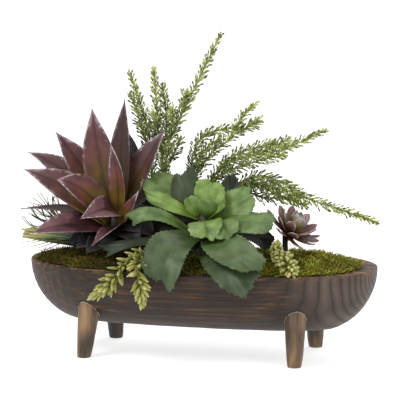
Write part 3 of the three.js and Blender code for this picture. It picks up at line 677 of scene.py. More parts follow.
def moss_top(x, y):
    """The height of the mat's top: a low crown and a mound, with lumps that die out at the edge."""
    share = min(1, across_moss(x, y))
    away = ((x - MOUND_AT[0]) / MOUND_REACH[0]) ** 2 + ((y - MOUND_AT[1]) / MOUND_REACH[1]) ** 2
    rise = MOSS_CROWN * (1 - share ** 2) + MOUND_HEIGHT * math.exp(-away) * (1 - share ** 6)
    swell = 3.2 * wander(x, y, 0, 26, 6) + 1.8 * wander(x, y, 0, 9, 7)
    return RIM + 1.6 + rise + swell * (1 - share ** 8)


moss_rings = [(MOSS_LOW, *[half - 1.2 for half in inside_of_bowl(MOSS_LOW)]), (RIM + 0.4, *below_rim)]
moss_rings += [(RIM + 0.4, edge_length, edge_width), (RIM + 1.6, edge_length, edge_width)]
for step in range(MAT_STEPS - 1, 0, -1):
    moss_rings.append((RIM + 1.6, edge_length * step / MAT_STEPS, edge_width * step / MAT_STEPS))
mat = ringed("moss_mat", MAT_SIDES, moss_rings, SQUARENESS)
for corner in mat.data.vertices[2 * MAT_SIDES:]:
    corner.co.x += MOSS_MIDDLE[0]
    corner.co.y += MOSS_MIDDLE[1]
    if corner.co.z > RIM + 1:
        corner.co.z = moss_top(corner.co.x, corner.co.y)
plain_attributes(mat, 0, 0, 0.4)
print("rings in the mat:", len(moss_rings))

# %% Strands of moss


def curled_strand(bend):
    """One three-sided strand, a unit long, bent sideways into an arc."""
    strand = ringed("strand", 3, [(0, 0.5, 0.5), (0.35, 0.8, 0.8), (0.7, 0.6, 0.6), (1, 0.15, 0.15)])
    for corner in strand.data.vertices:
        corner.co.x += bend * math.sin(corner.co.z * 2.6)
    return strand


random = np.random.RandomState(4)
beds = [mat]
for number, bend in enumerate((-3.2, 1.5, 4.0)):
    roots, directions = [], []
    while len(roots) < STRANDS // 3:
        x = MOSS_MIDDLE[0] + random.uniform(-1, 1) * edge_length * 1.012
        y = MOSS_MIDDLE[1] + random.uniform(-1, 1) * edge_width * 1.03
        if across_moss(x, y) > 1.02:
            continue
        roots.append((x, y, moss_top(x, y) - 1.5))
        outward = Vector((x / edge_length, y / edge_width, 0)) * across_moss(x, y) ** 6 * 0.8
        directions.append((random.normal() * 0.8 + outward.x, random.normal() * 0.8 + outward.y, 0.75))
    strand = curled_strand(bend)
    lengths = random.uniform(6, 13, len(roots))
    widths = random.uniform(0.55, 1.05, len(roots))
    beds.append(copies("strands", strand, roots, directions, lengths, widths, 1, number + 20))
    bpy.data.objects.remove(strand)
print("strands of each bend:", len(roots))

# %% [markdown]
# Moss is matt and takes light into itself. Its colour runs from dark olive at the roots to yellow
# green at the tips, with a share of brown dead strands and slow patches of both. The shade of the
# big leaves is painted on it: it is darker on the left and in the middle, and brightest on the right.

# %% Dried moss
moss_finish, tree, shader = new_material("dried_sheet_moss", {"Roughness": 0.95, "Specular IOR Level": 0.15})
place = add_node(tree, "ShaderNodeTexCoord").outputs["Object"]
to_the_right = add_node(tree, "ShaderNodeSeparateXYZ", {0: place}).outputs["X"]
to_the_right = add_node(
    tree, "ShaderNodeMapRange", {"Value": to_the_right, "From Min": -0.2, "From Max": 0.2},
).outputs[0]
colour = layer(tree, None, ("up", [(0.0, "#74703a"), (0.45, "#c4c46c"), (1.0, "#fff8b0")]))
colour = layer(tree, colour, ("tint", [
    (0.0, "#b06c34"), (0.15, "#b48450"), (0.21, "#b4c470"), (0.7, "#dce488"), (0.9, "#fff8ac"),
    (1.0, "#fffcc0"),
]))
patches = lumps(tree, (38, 38, 38), 3.0)
colour = layer(tree, colour, (patches, [(0.36, "#6c6850"), (0.6, "#ffffff")]), 0.75)
# Painted shade of the big leaves: darker from the left end to the middle, brightest on the right.
colour = layer(tree, colour, (to_the_right, [
    (0.0, "#968a88"), (0.45, "#807670"), (0.8, "#f6fae8"), (1.0, "#ffffff"),
]))
set_inputs(shader, {"Base Color": colour})
finish_piece(joined("sheet_moss", beds), "moss", ["moss"], moss_finish)

# %% [markdown]
# ## Leaves
# A silk-flower maker stamps each leaf flat, then presses it into its curve over a warm mould. The
# same is done here: a flat grid is added, its points are put on an arched midline with cupped
# sides, and a Solidify modifier, thicker at the foot and along the midrib, gives it its flesh.
# The underside takes its own material. The grid keeps its own UV map, which tells the material how
# far up the leaf and how far from the midrib a point is.

# %% Outlines of leaves


def lance(u, v, widest=0.42):
    """A sword leaf's outline: the place across and along of a point of the flat grid."""
    if v < widest:
        return u * (0.66 + 0.34 * math.sin(v / widest * math.pi / 2)), v
    return u * max(0.0004, math.cos((v - widest) / (1 - widest) * math.pi / 2)) ** 1.1, v


def fan(u, v, widest=0.62):
    """A broad leaf's outline, narrow at the foot and nearly square at the end."""
    if v < widest:
        return u * (0.34 + 0.66 * math.sin(v / widest * math.pi / 2) ** 1.1), v
    further = (v - widest) / (1 - widest)
    return u * (1 - 0.04 * further ** 2), widest + further * 0.4 * (1 - (0.96 * abs(u)) ** 4.5) ** 0.5


def spoon(u, v, widest=0.6):
    """A plump leaf's outline, widest past its middle and ending in a small point."""
    if v < widest:
        return u * (0.46 + 0.54 * math.sin(v / widest * math.pi / 2)), v
    return u * max(0.004, 1 - ((v - widest) / (1 - widest)) ** 2.6) ** 0.55, v


def two_waves(turn, folds, phase):
    """A long wave with a shorter one on it, as a fluted margin has."""
    return math.sin(turn * folds + phase) + 0.5 * math.sin(turn * folds * 2.3 + phase * 2)


print("near its tip a sword leaf keeps", round(lance(1, 0.9)[0], 2), "of its width")

# %% Shaping a leaf


def take_finishes(obj, finishes, tint):
    """Gives a leaf, a heart or a peg its materials, and its tint all over."""
    for finish in finishes:
        obj.data.materials.append(finish)
    set_attribute(obj.data, "tint", np.full(len(obj.data.vertices), tint))


def shape_leaf(root, through, tip, facing, look):
    """One thick leaf on a curve from its root through a point to its tip. Its upper side faces
    the given direction."""
    half_width, cup, (columns, rows) = look["half_width"], look["cup"], look["grid"]
    teeth, ruffle, folds, lobes, phase = [
        look.get(key, 0) for key in ("teeth", "ruffle", "folds", "lobes", "phase")
    ]
    along = (tip - root).normalized()
    upper = (facing - along * facing.dot(along)).normalized()
    across = upper.cross(along).normalized()
    middle = through * 2 - (root + tip) / 2
    bpy.ops.mesh.primitive_grid_add(x_subdivisions=columns, y_subdivisions=rows, size=2)
    leaf = bpy.context.object
    flesh = leaf.vertex_groups.new(name="flesh")
    for corner in leaf.data.vertices:
        u, v = corner.co.x, (corner.co.y + 1) / 2
        aside, t = look["outline"](u, v)
        margin = max(abs(u), (v - 0.5) * 2)
        turn = math.atan2(aside, t - 0.35)
        spread = 1 + lobes * max(0, margin) ** 3 * two_waves(turn, folds * 1.4, phase + 1)
        tooth = 0
        if margin > 0.995 and v > 0.12:
            tooth = teeth * ((round((u + 1) / 2 * columns) + round(v * rows)) % 3)
        aside *= spread + tooth
        t = 0.4 + (t - 0.4) * (spread + tooth * 0.4) if t > 0.4 else t
        lift = ruffle * max(0, margin) ** 2.5 * min(1, v * 2) * two_waves(turn, folds, phase)
        point = root * (1 - t) ** 2 + middle * 2 * t * (1 - t) + tip * t ** 2
        ahead = ((middle - root) * (1 - t) + (tip - middle) * t).normalized()
        above = ahead.cross(across).normalized()
        bowed = cup * half_width * abs(aside) * abs(u) ** look.get("fold", 0.6)
        corner.co = point + across * half_width * aside + above * (bowed + lift)
        flesh.add([corner.index], max(0.16, (1 - abs(u) ** 1.5) * (1 - 0.6 * v)), "REPLACE")
    take_finishes(leaf, look["finishes"], look["tint"])
    apply_modifier(
        leaf, "SOLIDIFY", thickness=look["thickness"], offset=-1, vertex_group="flesh",
        use_even_offset=False, material_offset=1, material_offset_rim=1,
    )
    return leaf


# %% Hearts, pegs and rosettes
STEM_FOOT = 128


def foot_peg(place, sides, *rings):
    """The straight foot of a stem, which is pushed into the foam."""
    foot = ringed("foot", sides, rings)
    foot.data.transform(Matrix.Translation((place[0], place[1], 0)))
    return foot


print("every stem reaches down to", STEM_FOOT, "mm, into the foam")


def heart_and_peg(heart, size, place, radius, stem_top, finishes):
    """The lump that a rosette's leaves grow from, and the peg that it stands on. Both have the
    third of the finishes, and the foot of the leaves' own map."""
    bpy.ops.mesh.primitive_uv_sphere_add(segments=24, ring_count=14, radius=1)
    lump = bpy.context.object
    lump.data.transform(Matrix.Translation(heart) @ Matrix.Diagonal((*size, 1)))
    peg_rings = [(STEM_FOOT, radius, radius), (170, radius * 0.97, radius), (stem_top, radius, radius)]
    peg = foot_peg(place, 12, *peg_rings)
    for part in (lump, peg):
        uv = part.data.uv_layers.active or part.data.uv_layers.new(name="UVMap")
        uv.uv.foreach_set("vector", np.tile((0.5, 0.04), len(part.data.loops)).astype(np.float32))
        take_finishes(part, finishes, 0.3)
        part.data.polygons.foreach_set("material_index", [2] * len(part.data.polygons))
    return [lump, peg]


def rosette_leaves(plant, leaves, look):
    """Leaves round a heart. Each is a point of its midline, its tip, half its width, the direction
    that its upper side faces, its tint and how far below the heart's middle it starts."""
    heart, axis = Vector(plant["heart"]), Vector(plant["axis"]).normalized()
    made = []
    for number, (through, tip, half_width, facing, tint, drop) in enumerate(leaves):
        outward = Vector(through) - heart
        climb = outward.normalized().dot(axis)
        outward = (outward - axis * outward.dot(axis)).normalized()
        root = heart + axis * (plant["climb"] * climb - drop) + outward * plant["start"]
        this_look = {**look, "half_width": half_width, "tint": tint, "phase": number * 1.7}
        made.append(shape_leaf(root, Vector(through), Vector(tip), Vector(facing), this_look))
    return made


# %% [markdown]
# ## The burgundy agave
# Stiff channelled sword leaves stand round a short heart. Each is burgundy above, olive yellow in
# the throat and dark below, and its margin and tip are dusted with pale paint. The upright leaves
# behind show their upper sides, and the front ones bend down over the moss.

# %% Agave
AGAVE = {"heart": (-155, -6, 222), "axis": (-0.02, -0.15, 1), "start": 11, "climb": 12}
# A leaf's tint is partly its own tone and partly painted shade. The leaves tinted near 0, low under the heart
# and at the back, are near black: painted shade in the gaps between the leaves.
AGAVE_LEAVES = [
    ((-238, -22, 281), (-316, -20, 313), 30, (0.3, -0.75, 0.6), 0.55, 0),
    ((-249, 18, 300), (-325, 35, 335), 25, (0.2, -0.6, 0.75), 0.45, 0),
    ((-222, 20, 310), (-273, 30, 374), 28, (0.4, -0.7, 0.5), 0.6, 0),
    ((-188, 14, 330), (-206, 28, 418), 30, (0.05, -0.9, 0.3), 0.5, 0),
    ((-148, 10, 340), (-144, 18, 437), 21, (-0.2, -0.95, 0.2), 0.27, 0),
    ((-110, 8, 316), (-74, 28, 384), 29, (-0.35, -0.75, 0.5), 0.38, 0),
    ((-144, -28, 306), (-155, -38, 366), 17, (-0.3, -0.8, 0.3), 0.62, 0),
    ((-206, -42, 283), (-246, -58, 303), 28, (0.05, -0.7, 0.7), 0.75, 0),
    ((-162, -54, 252), (-194, -98, 243), 26, (0.05, -0.85, 0.5), 0.8, -14),
    ((-250, 8, 237), (-333, 15, 237), 17, (0, -0.2, 1), 0.3, 0),
    ((-232, -40, 219), (-292, -50, 206), 27, (0, -0.6, 0.8), 0.82, 8),
    ((-150, -60, 216), (-174, -96, 196), 20, (-0.35, -0.6, 0.7), 0.9, 8),
    ((-119, -42, 252), (-101, -55, 289), 15, (-0.4, -0.8, 0.5), 0.62, 0),
    ((-143, 42, 318), (-151, 60, 375), 22, (0.1, -0.9, 0.3), 0.0, 0),
    ((-205, 42, 320), (-222, 60, 372), 20, (0.1, -0.9, 0.3), 0.1, 0),
    ((-109, -24, 224), (-80, -30, 203), 27, (0.2, -0.7, 0.7), 0.06, 8),
    ((-120, -40, 213), (-102, -54, 195), 26, (0.1, -0.7, 0.7), 0.03, 12),
    ((-198, -22, 206), (-236, -32, 186), 22, (0, -0.7, 0.7), 0.02, 12),
    ((-158, -42, 202), (-160, -56, 180), 20, (0, -0.8, 0.6), 0.0, 14),
    ((-186, -34, 198), (-216, -54, 182), 24, (0, -0.7, 0.7), 0.03, 16),
    ((-174, -48, 192), (-190, -74, 178), 22, (0, -0.8, 0.6), 0.02, 18),
    ((-128, -34, 198), (-112, -46, 180), 24, (0, -0.8, 0.6), 0.02, 16),
    ((-208, 70, 268), (-240, 108, 290), 26, (0, -0.3, 1), 0.3, 0),
    ((-158, 75, 262), (-165, 122, 275), 26, (0, -0.3, 1), 0.3, 0),
    ((-232, 46, 245), (-288, 76, 250), 22, (0, -0.2, 1), 0.3, 0),
    ((-108, 45, 266), (-86, 70, 292), 22, (0, -0.3, 1), 0.3, 0),
]
sword = {"outline": lance, "grid": (10, 26), "cup": 0.42, "thickness": 5, "fold": 0.5}
print("agave leaves:", len(AGAVE_LEAVES))

# %% [markdown]
# The leaves are moulded polyethylene, airbrushed in three colours and dry-brushed on the margins.
# Polyethylene has an IOR of about 1.5. The matt paint takes its shine away, so it is set a little
# lower. The throat colour runs further up the channel than along the margins. The bottom of the
# channel is painted darker, as the shade that the fold of the leaf casts into it.

# %% Painted leaf


def leaf_finish(name, along_stops, tint_stops, look):
    """Paint that changes up the leaf, is tinted leaf by leaf and is dusted along the margin."""
    material, tree, shader = new_material(name, {"IOR": 1.45, "Roughness": look["roughness"]})
    uv = add_node(tree, "ShaderNodeUVMap", uv_map="UVMap").outputs[0]
    across, up, _ = add_node(tree, "ShaderNodeSeparateXYZ", {0: uv}).outputs
    tint = add_node(tree, "ShaderNodeAttribute", attribute_name="tint").outputs["Fac"]
    mottle = lumps(tree, (look["grain"],) * 3, 4.0, 0.6)
    clouds = lumps(tree, (look["clouds"],) * 3, 2.0)
    veins_at = add_node(tree, "ShaderNodeMapping", {"Vector": uv, "Scale": (34, 2.2, 1)}).outputs[0]
    veins = add_node(
        tree, "ShaderNodeTexNoise", {"Vector": veins_at, "Scale": 1.0, "Detail": 2.0}, noise_dimensions="2D",
    ).outputs["Fac"]
    aside = add_node(tree, "ShaderNodeMath", {0: across, 1: 0.5}, operation="SUBTRACT").outputs[0]
    aside = add_node(tree, "ShaderNodeMath", {0: aside}, operation="ABSOLUTE").outputs[0]
    shaken = add_node(tree, "ShaderNodeMapRange", {
        "Value": tint, "From Min": 0.76, "From Max": 0.8, "To Min": -0.11, "To Max": look["bare_foot"],
    }).outputs[0]
    for value, times in ((mottle, 0.22), (aside, look["spread"]), (up, 1.0)):
        inputs = {0: value, 1: times, 2: shaken}
        shaken = add_node(tree, "ShaderNodeMath", inputs, operation="MULTIPLY_ADD").outputs[0]
    colour = layer(tree, None, (shaken, along_stops))
    # The tint darkens each leaf as a whole: partly its own tone, partly painted shade on leaves that lie in
    # the shadow of others.
    colour = layer(tree, colour, (tint, tint_stops))
    colour = layer(tree, colour, (clouds, [(0.36, look["cloud"]), (0.62, "#ffffff")]))
    colour = layer(tree, colour, (veins, [(0.35, "#c9c4c4"), (0.65, "#ffffff")]), look["veining"])
    # Painted shade along the midrib, in the fold of the channel.
    colour = layer(tree, colour, (aside, [(0.0, look["channel"]), (0.14, "#ffffff")]))
    inputs = {0: aside, 1: 2.0, 2: mottle}
    margin = add_node(tree, "ShaderNodeMath", inputs, operation="MULTIPLY_ADD").outputs[0]
    dust = add_node(tree, "ShaderNodeMapRange", {
        "Value": margin, "From Min": look["edge_from"] + 0.5, "From Max": look["edge_from"] + 0.72,
        "To Max": look["dust"],
    }).outputs[0]
    near_tip = add_node(
        tree, "ShaderNodeMapRange", {"Value": up, "From Min": look["dust_from"], "To Min": 0.08},
    ).outputs[0]
    # Leaves with low tints are darkened as painted shade, so their pale dust is held back as well.
    painted = add_node(tree, "ShaderNodeMapRange", {"Value": tint, "From Max": 0.4}).outputs[0]
    for share in (near_tip, painted):
        dust = add_node(tree, "ShaderNodeMath", {0: dust, 1: share}, operation="MULTIPLY").outputs[0]
    colour = layer(tree, colour, look["edge"], dust, "MIX")
    relief = add_node(
        tree, "ShaderNodeBump", {"Height": veins, "Strength": 0.3, "Distance": 0.0006},
    ).outputs[0]
    set_inputs(shader, {"Base Color": colour, "Normal": relief})
    print(f"{name}: {len(tree.nodes)} nodes")
    return material


# %% Burgundy paint
paint = {
    "roughness": 0.55, "grain": 8.0, "clouds": 26.0, "cloud": "#c8bcc0", "spread": 0.42, "veining": 0.45,
    "edge": "#d8d2d2", "edge_from": 0.85, "dust": 1.0, "dust_from": 0.5, "bare_foot": 0.3,
    "channel": "#b2a09a",
}
burgundy = leaf_finish(
    "airbrushed_burgundy_leaf",
    [(0.0, "#605808"), (0.4, "#72620e"), (0.51, "#785424"), (0.63, "#76483e"), (0.85, "#664044"),
     (0.95, "#705458"), (1.0, "#a89498")],
    [(0.0, "#1c1618"), (0.2, "#766a6e"), (0.5, "#e2d6d4"), (0.76, "#f4dcdc"), (0.82, "#a87682"),
     (1.0, "#b8808e")], paint,
)
burgundy_back = leaf_finish(
    "dark_burgundy_underside",
    [(0.0, "#4c3430"), (0.25, "#603e44"), (0.9, "#664a4c"), (1.0, "#a09496")],
    [(0.0, "#1c1618"), (0.2, "#766a6e"), (0.5, "#e2d8d8"), (1.0, "#b8808e")], paint,
)
# Near black: the stem's own dark plastic and also painted shade, since hearts and pegs show only in the
# shadow under the rosettes.
stem_finish, tree, shader = new_material("dark_stem_and_painted_shade", {"IOR": 1.5, "Roughness": 0.6})
scuffs = lumps(tree, (5, 5, 5), 3.0)
set_inputs(shader, {"Base Color": layer(tree, None, (scuffs, [(0.35, "#1e1d12"), (0.65, "#333020")]))})

# %% [markdown]
# Each leaf carries three materials, for its underside, its upper side and the stem, in the same
# order as the heart and the peg, so that they stay in their places when all is joined.

# %% Agave leaves
finishes = (burgundy_back, burgundy, stem_finish)
parts = rosette_leaves(AGAVE, AGAVE_LEAVES, {**sword, "finishes": finishes})
parts += heart_and_peg((-155, -6, 215), (14, 14, 26), (-158, -5), 7, 205, finishes)
finish_piece(joined("burgundy_agave", parts), "burgundy_leaf", ["agave"])

# %% [markdown]
# ## The big green rosette
# Its leaves are broad fans, stamped from coated fabric, with toothed margins that ripple more the
# nearer they are to the end. The outer leaves hang over the bowl's front, the small heart leaves
# stand up and hold each other, and dark ones fill the back. Grid, outline and mould are the
# agave's, with ripples, lobes and teeth added.

# %% Green rosette
ROSETTE = {"heart": (6, -14, 238), "axis": (0.06, -0.33, 0.94), "start": 11, "climb": 8}
ROSETTE_LEAVES = [
    ((-50, -6, 274), (-99, -2, 300), 31, (0.25, -0.7, 0.65), 0.72, 0),
    ((-50, -34, 264), (-92, -32, 281), 12, (0.2, -0.85, 0.45), 0.84, 4),
    ((-24, -8, 272), (-36, 2, 313), 25, (0.1, -0.9, 0.4), 0.16, 0),
    ((13, -10, 268), (13, -4, 300), 27, (0, -0.95, 0.4), 0.95, 0),
    ((37, 15, 265), (46, 30, 303), 20, (0, -0.9, 0.4), 0.05, 0),
    ((52, -15, 256), (90, -15, 277), 33, (-0.3, -0.75, 0.6), 0.72, 2),
    ((20, -68, 238), (28, -104, 221), 28, (0, -0.4, 0.95), 0.85, 6),
    ((48, -66, 236), (66, -98, 222), 26, (0, -0.45, 0.9), 0.6, 8),
    ((84, -56, 240), (136, -75, 240), 30, (0.1, -0.55, 0.8), 0.55, 6),
    ((-62, -64, 248), (-110, -68, 242), 17, (0.15, -0.65, 0.75), 0.53, 42),
    ((-25, -124, 207), (-37, -156, 151), 34, (0.3, -0.55, 0.75), 0.3, 30),
    ((64, -114, 207), (127, -154, 183), 31, (0.1, -0.75, 0.65), 0.38, 26),
    ((60, -112, 190), (113, -160, 146), 38, (0.05, -0.8, 0.6), 0.2, 38),
    ((-82, -64, 203), (-152, -80, 186), 16, (0, -0.5, 0.9), 0.07, 26),
    ((84, -20, 212), (122, -28, 196), 22, (0.2, -0.5, 0.85), 0.0, 20),
    ((-61, 22, 248), (-100, 40, 256), 32, (0.3, -0.6, 0.7), 0.0, 14),
    ((-72, 2, 217), (-116, 4, 212), 32, (0, -0.6, 0.8), 0.0, 24),
    ((-40, 45, 240), (-62, 82, 232), 27, (0, -0.3, 1), 0.25, 0),
    ((28, 38, 246), (36, 70, 243), 28, (0, -0.3, 1), 0.3, 0),
    ((62, 24, 236), (98, 50, 226), 26, (0, -0.3, 1), 0.2, 8),
    ((10, -62, 208), (8, -102, 196), 26, (0, -0.6, 0.8), 0.0, 28),
    ((-60, 8, 246), (-107, 10, 262), 25, (0.1, -0.7, 0.7), 0.0, 6),
]
HEART_LEAVES = [
    ((-13, -22, 258), (-23, -24, 273), 14, (0.4, -0.8, 0.4), 0.9, 0),
    ((37, -22, 258), (40, -18, 276), 16, (-0.4, -0.8, 0.4), 0.9, 0),
    ((16, -36, 254), (12, -38, 273), 19, (0, 0.8, 0.6), 0.97, 0),
    ((34, -34, 252), (46, -40, 264), 14, (-0.4, -0.5, 0.7), 0.95, 0),
]
wavy = {
    "outline": fan, "grid": (34, 40), "cup": 0.16, "thickness": 2.2, "teeth": 0.045, "ruffle": 5.2,
    "folds": 2.7, "lobes": 0.055, "fold": 0.8,
}
coating = {
    "roughness": 0.52, "grain": 16.0, "clouds": 22.0, "cloud": "#c2c9b4", "spread": 0.1, "veining": 0.25,
    "edge": "#aeb89a", "edge_from": 0.97, "dust": 0.3, "dust_from": 0.3, "bare_foot": -0.11,
    "channel": "#e4eadc",
}
print("rosette leaves:", len(ROSETTE_LEAVES) + len(HEART_LEAVES))

# %% [markdown]
# The fabric was dipped in a rubbery coating, which gives it a soft sheen, cloudy patches and a
# slightly paler margin. Each leaf's tint makes it fresh or deep: bright in the heart, dark green at
# the front and nearly black where little light comes.

# %% Green coating
green_leaf = leaf_finish(
    "coated_green_leaf",
    [(0.0, "#b4bb50"), (0.25, "#d0dc8c"), (0.5, "#ecf0d4"), (0.85, "#e6e8de"), (1.0, "#e0e4d8")],
    [(0.0, "#20261a"), (0.12, "#424e36"), (0.3, "#566948"), (0.5, "#728a5a"), (0.72, "#859e60"),
     (1.0, "#9bb864")], coating,
)
green_back = leaf_finish(
    "green_leaf_underside",
    [(0.0, "#a8ac64"), (0.3, "#c8d2ae"), (1.0, "#d8e0d4")],
    [(0.0, "#232a1e"), (0.12, "#384230"), (0.35, "#4c5c42"), (0.65, "#667a50"), (1.0, "#869f5c")], coating,
)
finishes = (green_back, green_leaf, stem_finish)
wavy["finishes"] = finishes
upright = {**wavy, "grid": (18, 20), "cup": 0.45, "ruffle": 1.6, "teeth": 0.015, "lobes": 0.03}
parts = rosette_leaves(ROSETTE, ROSETTE_LEAVES, wavy)
parts += rosette_leaves(ROSETTE, HEART_LEAVES, upright)
parts += heart_and_peg((6, -14, 222), (15, 15, 27), (8, -12), 8, 205, finishes)
finish_piece(joined("green_rosette_leaves", parts), "green_leaf", ["green_rosette"])

# %% [markdown]
# ## The small echeveria
# A rosette of plump narrow leaves that leans to the right. The inner leaves close in a pale bud
# with a yellow foot, and the outer ones spread flat, a golden angle apart, as the real plant grows.
# They are moulded and airbrushed as the agave's are, with finer clouds and a wider dusted margin.

# %% Mauve paint
soft_paint = {
    "roughness": 0.5, "grain": 6.0, "clouds": 12.0, "cloud": "#cbbfc0", "spread": 0.35, "veining": 0.3,
    "edge": "#cfc6c6", "edge_from": 0.72, "dust": 0.75, "dust_from": 0.2, "bare_foot": -0.11,
    "channel": "#ffffff",
}
mauve_leaf = leaf_finish(
    "airbrushed_mauve_leaf",
    [(0.0, "#a88c20"), (0.34, "#a8923a"), (0.56, "#a49a74"), (0.8, "#b4aaa0"), (1.0, "#ccc2c0")],
    [(0.0, "#e4e4dc"), (0.2, "#d6d2ca"), (0.45, "#b8949a"), (1.0, "#ac7884")], soft_paint,
)
mauve_back = leaf_finish(
    "mauve_leaf_underside",
    [(0.0, "#7c6010"), (0.52, "#98842c"), (0.72, "#a09468"), (0.9, "#b2aa9e"), (1.0, "#c4bcba")],
    [(0.0, "#dcdcd4"), (0.2, "#d2cec6"), (0.45, "#b09096"), (1.0, "#a0707c")], soft_paint,
)

# %% Small echeveria
GOLDEN_ANGLE = math.radians(137.5)
ECHEVERIA_HEART = Vector((156, -22, 218))
ECHEVERIA_AXIS = Vector((0.55, -0.08, 0.83)).normalized()
BUD_LEAVES, OUTER_LEAVES = 11, 21


def leaning(axis, turn, lean):
    """The direction at an angle round an axis, leaning away from it."""
    side = Vector((1, 0.013, 0.02))
    side = (side - axis * side.dot(axis)).normalized()
    side.rotate(Matrix.Rotation(turn, 3, axis))
    return (side * math.sin(lean) + axis * math.cos(lean)).normalized()


finishes = (mauve_back, mauve_leaf, stem_finish)
plump = {"outline": spoon, "grid": (8, 12), "fold": 0.8, "finishes": finishes}
parts = []
for number in range(BUD_LEAVES + OUTER_LEAVES):
    if number < BUD_LEAVES:
        part = number / BUD_LEAVES
        lean, length, bow = 3 + 13 * part, 33 + 3 * part, 2 + 6 * part
        half_width, thickness = 7 + 4 * part, 4.5
        height, cup, tint = 9, 0.6, 0.1 * part
    else:
        part = (number - BUD_LEAVES) / (OUTER_LEAVES - 1)
        lean, length, bow = 40 + 38 * part, 46 + 9 * part, 6
        half_width, thickness = 9.5, 6.5
        height, cup, tint = 5 - 9 * part, 0.2, 0.4 + 0.6 * part
    direction = leaning(ECHEVERIA_AXIS, number * GOLDEN_ANGLE, math.radians(lean))
    outward = (direction - ECHEVERIA_AXIS * direction.dot(ECHEVERIA_AXIS)).normalized()
    root = ECHEVERIA_HEART + ECHEVERIA_AXIS * height + outward * 4
    tip = root + direction * length
    through = (root + tip) / 2 + (outward - ECHEVERIA_AXIS * 0.4).normalized() * bow
    look = {**plump, "half_width": half_width, "cup": cup, "thickness": thickness, "tint": tint}
    parts.append(shape_leaf(root, through, tip, ECHEVERIA_AXIS, look))
for leaf in parts:
    apply_modifier(leaf, "SUBSURF", levels=1, render_levels=1)
parts += heart_and_peg(ECHEVERIA_HEART, (11, 11, 12), (149, -20), 5, 215, finishes)
finish_piece(joined("small_echeveria_leaves", parts), "mauve_leaf", ["small_echeveria"])

# %% [markdown]
# ## Stems along smooth lines
# A stem is drawn as a few points and a smooth line through them. The line is cut in even
# steps, so that needles and leaves can be set along it at even spacing.

# %% Smooth lines


def smooth_line(points, step):
    """Points about a step apart on a curve through the given points, its directions and length."""
    fixed = np.array(points, float)
    fixed = np.vstack([2 * fixed[0] - fixed[1], fixed, 2 * fixed[-1] - fixed[-2]])
    fine = []
    for a, b, c, d in zip(fixed, fixed[1:], fixed[2:], fixed[3:]):
        first = np.linalg.norm(b - a) ** 0.5
        second = first + np.linalg.norm(c - b) ** 0.5
        third = second + np.linalg.norm(d - c) ** 0.5
        for t in np.linspace(first, second, 16, endpoint=False):
            ab = ((first - t) * a + t * b) / first
            bc = ((second - t) * b + (t - first) * c) / (second - first)
            cd = ((third - t) * c + (t - second) * d) / (third - second)
            abc = ((second - t) * ab + t * bc) / second
            bcd = ((third - t) * bc + (t - first) * cd) / (third - first)
            fine.append(((second - t) * abc + (t - first) * bcd) / (second - first))
    fine = np.array(fine + [fixed[-2]])
    along = np.concatenate([[0], np.cumsum(np.linalg.norm(np.diff(fine, axis=0), axis=1))])
    marks = np.linspace(0, along[-1], max(3, round(along[-1] / step) + 1))
    line = np.stack([np.interp(marks, along, fine[:, axis]) for axis in range(3)], axis=1)
    return line, unit(np.gradient(line, axis=0)), along[-1]


def golden_directions(headings, leans, random):
    """Directions that wind round their headings at the golden angle and lean away from them."""
    made = []
    for number, (heading, lean) in enumerate(zip(headings, leans)):
        turn = number * GOLDEN_ANGLE + random.random_sample() * 0.8
        made.append(tuple(leaning(Vector(heading), turn, math.radians(lean))))
    return made


print("length of a small bend:", round(smooth_line([(0, 0, 0), (10, 0, 0), (20, 10, 0)], 1)[2], 1), "mm")

# %% [markdown]
# ## Sedum
# The hanging stems carry plump pointed leaves, crowded in a head at the tip. The stem on the right
# is a burro's tail: short round leaves packed so close that the stem can't be seen.

# %% Sedum
SEDUM_LONG = [
    (-70, -62, 176), (-80, -72, 186), (-88, -88, 184), (-97, -112, 178), (-106, -138, 170),
    (-118, -156, 152), (-131, -164, 138), (-146, -168, 127),
]
SEDUM_SHORT = [
    (-70, -86, 174), (-78, -104, 182), (-78, -136, 180), (-75, -162, 166), (-67, -174, 142),
    (-65, -174, 122),
]
SEDUM_RIGHT = [
    [(150, -72, 172), (149, -73, 182), (147, -75, 193), (146, -77, 205)],
    [(150, -72, 172), (157, -80, 183), (167, -94, 180), (178, -111, 170)],
]
sedum_leaf = ringed("sedum_leaf", 6, [
    (0, 0.35, 0.3), (0.25, 0.75, 0.55), (0.55, 1.0, 0.7), (0.8, 0.66, 0.5), (1, 0.1, 0.1),
])
bead_leaf = ringed("bead_leaf", 6, [
    (0, 0.3, 0.3), (0.45, 0.6, 0.6), (0.75, 1.0, 1.0), (0.92, 0.75, 0.75), (1, 0.2, 0.2),
])
print("the long sedum is", round(smooth_line(SEDUM_LONG, 1)[2]), "mm from foot to tip")

# %% Stems and leaves of sedum
POINTED = {"model": sedum_leaf, "step": 1, "width": 4.1, "spread": 0.15}
ROUND = {"model": bead_leaf, "step": 0.5, "width": 3.4, "spread": 0.1}


def sedum_stem(points, radius):
    """A tapering stem along a smooth line through the points."""
    line = smooth_line(points, 5)[0]
    stem = tube("stem", line.tolist(), np.linspace(radius, radius * 0.6, len(line)), 6)
    return plain_attributes(stem, 0.1, 0, 0.5)


def sedum_foot(place, top):
    """The straight foot that carries a stem in the foam."""
    return plain_attributes(foot_peg(place, 8, (STEM_FOOT, 2.6, 2.6), (top, 2.4, 2.4)), 0.1, 0, 0.5)


def sedum_leaves(kind, points, at, leans, lengths, random, seed):
    """Leaves that wind round a stem at the golden angle, each at its own part of the stem."""
    line, headings, _ = smooth_line(points, kind["step"])
    index = np.round(at * (len(line) - 1)).astype(int)
    directions = golden_directions(headings[index], leans, random)
    lengths = lengths * random.uniform(1 - kind["spread"], 1 + kind["spread"], len(at))
    return copies("leaves", kind["model"], line[index], directions, lengths, kind["width"], at, seed)


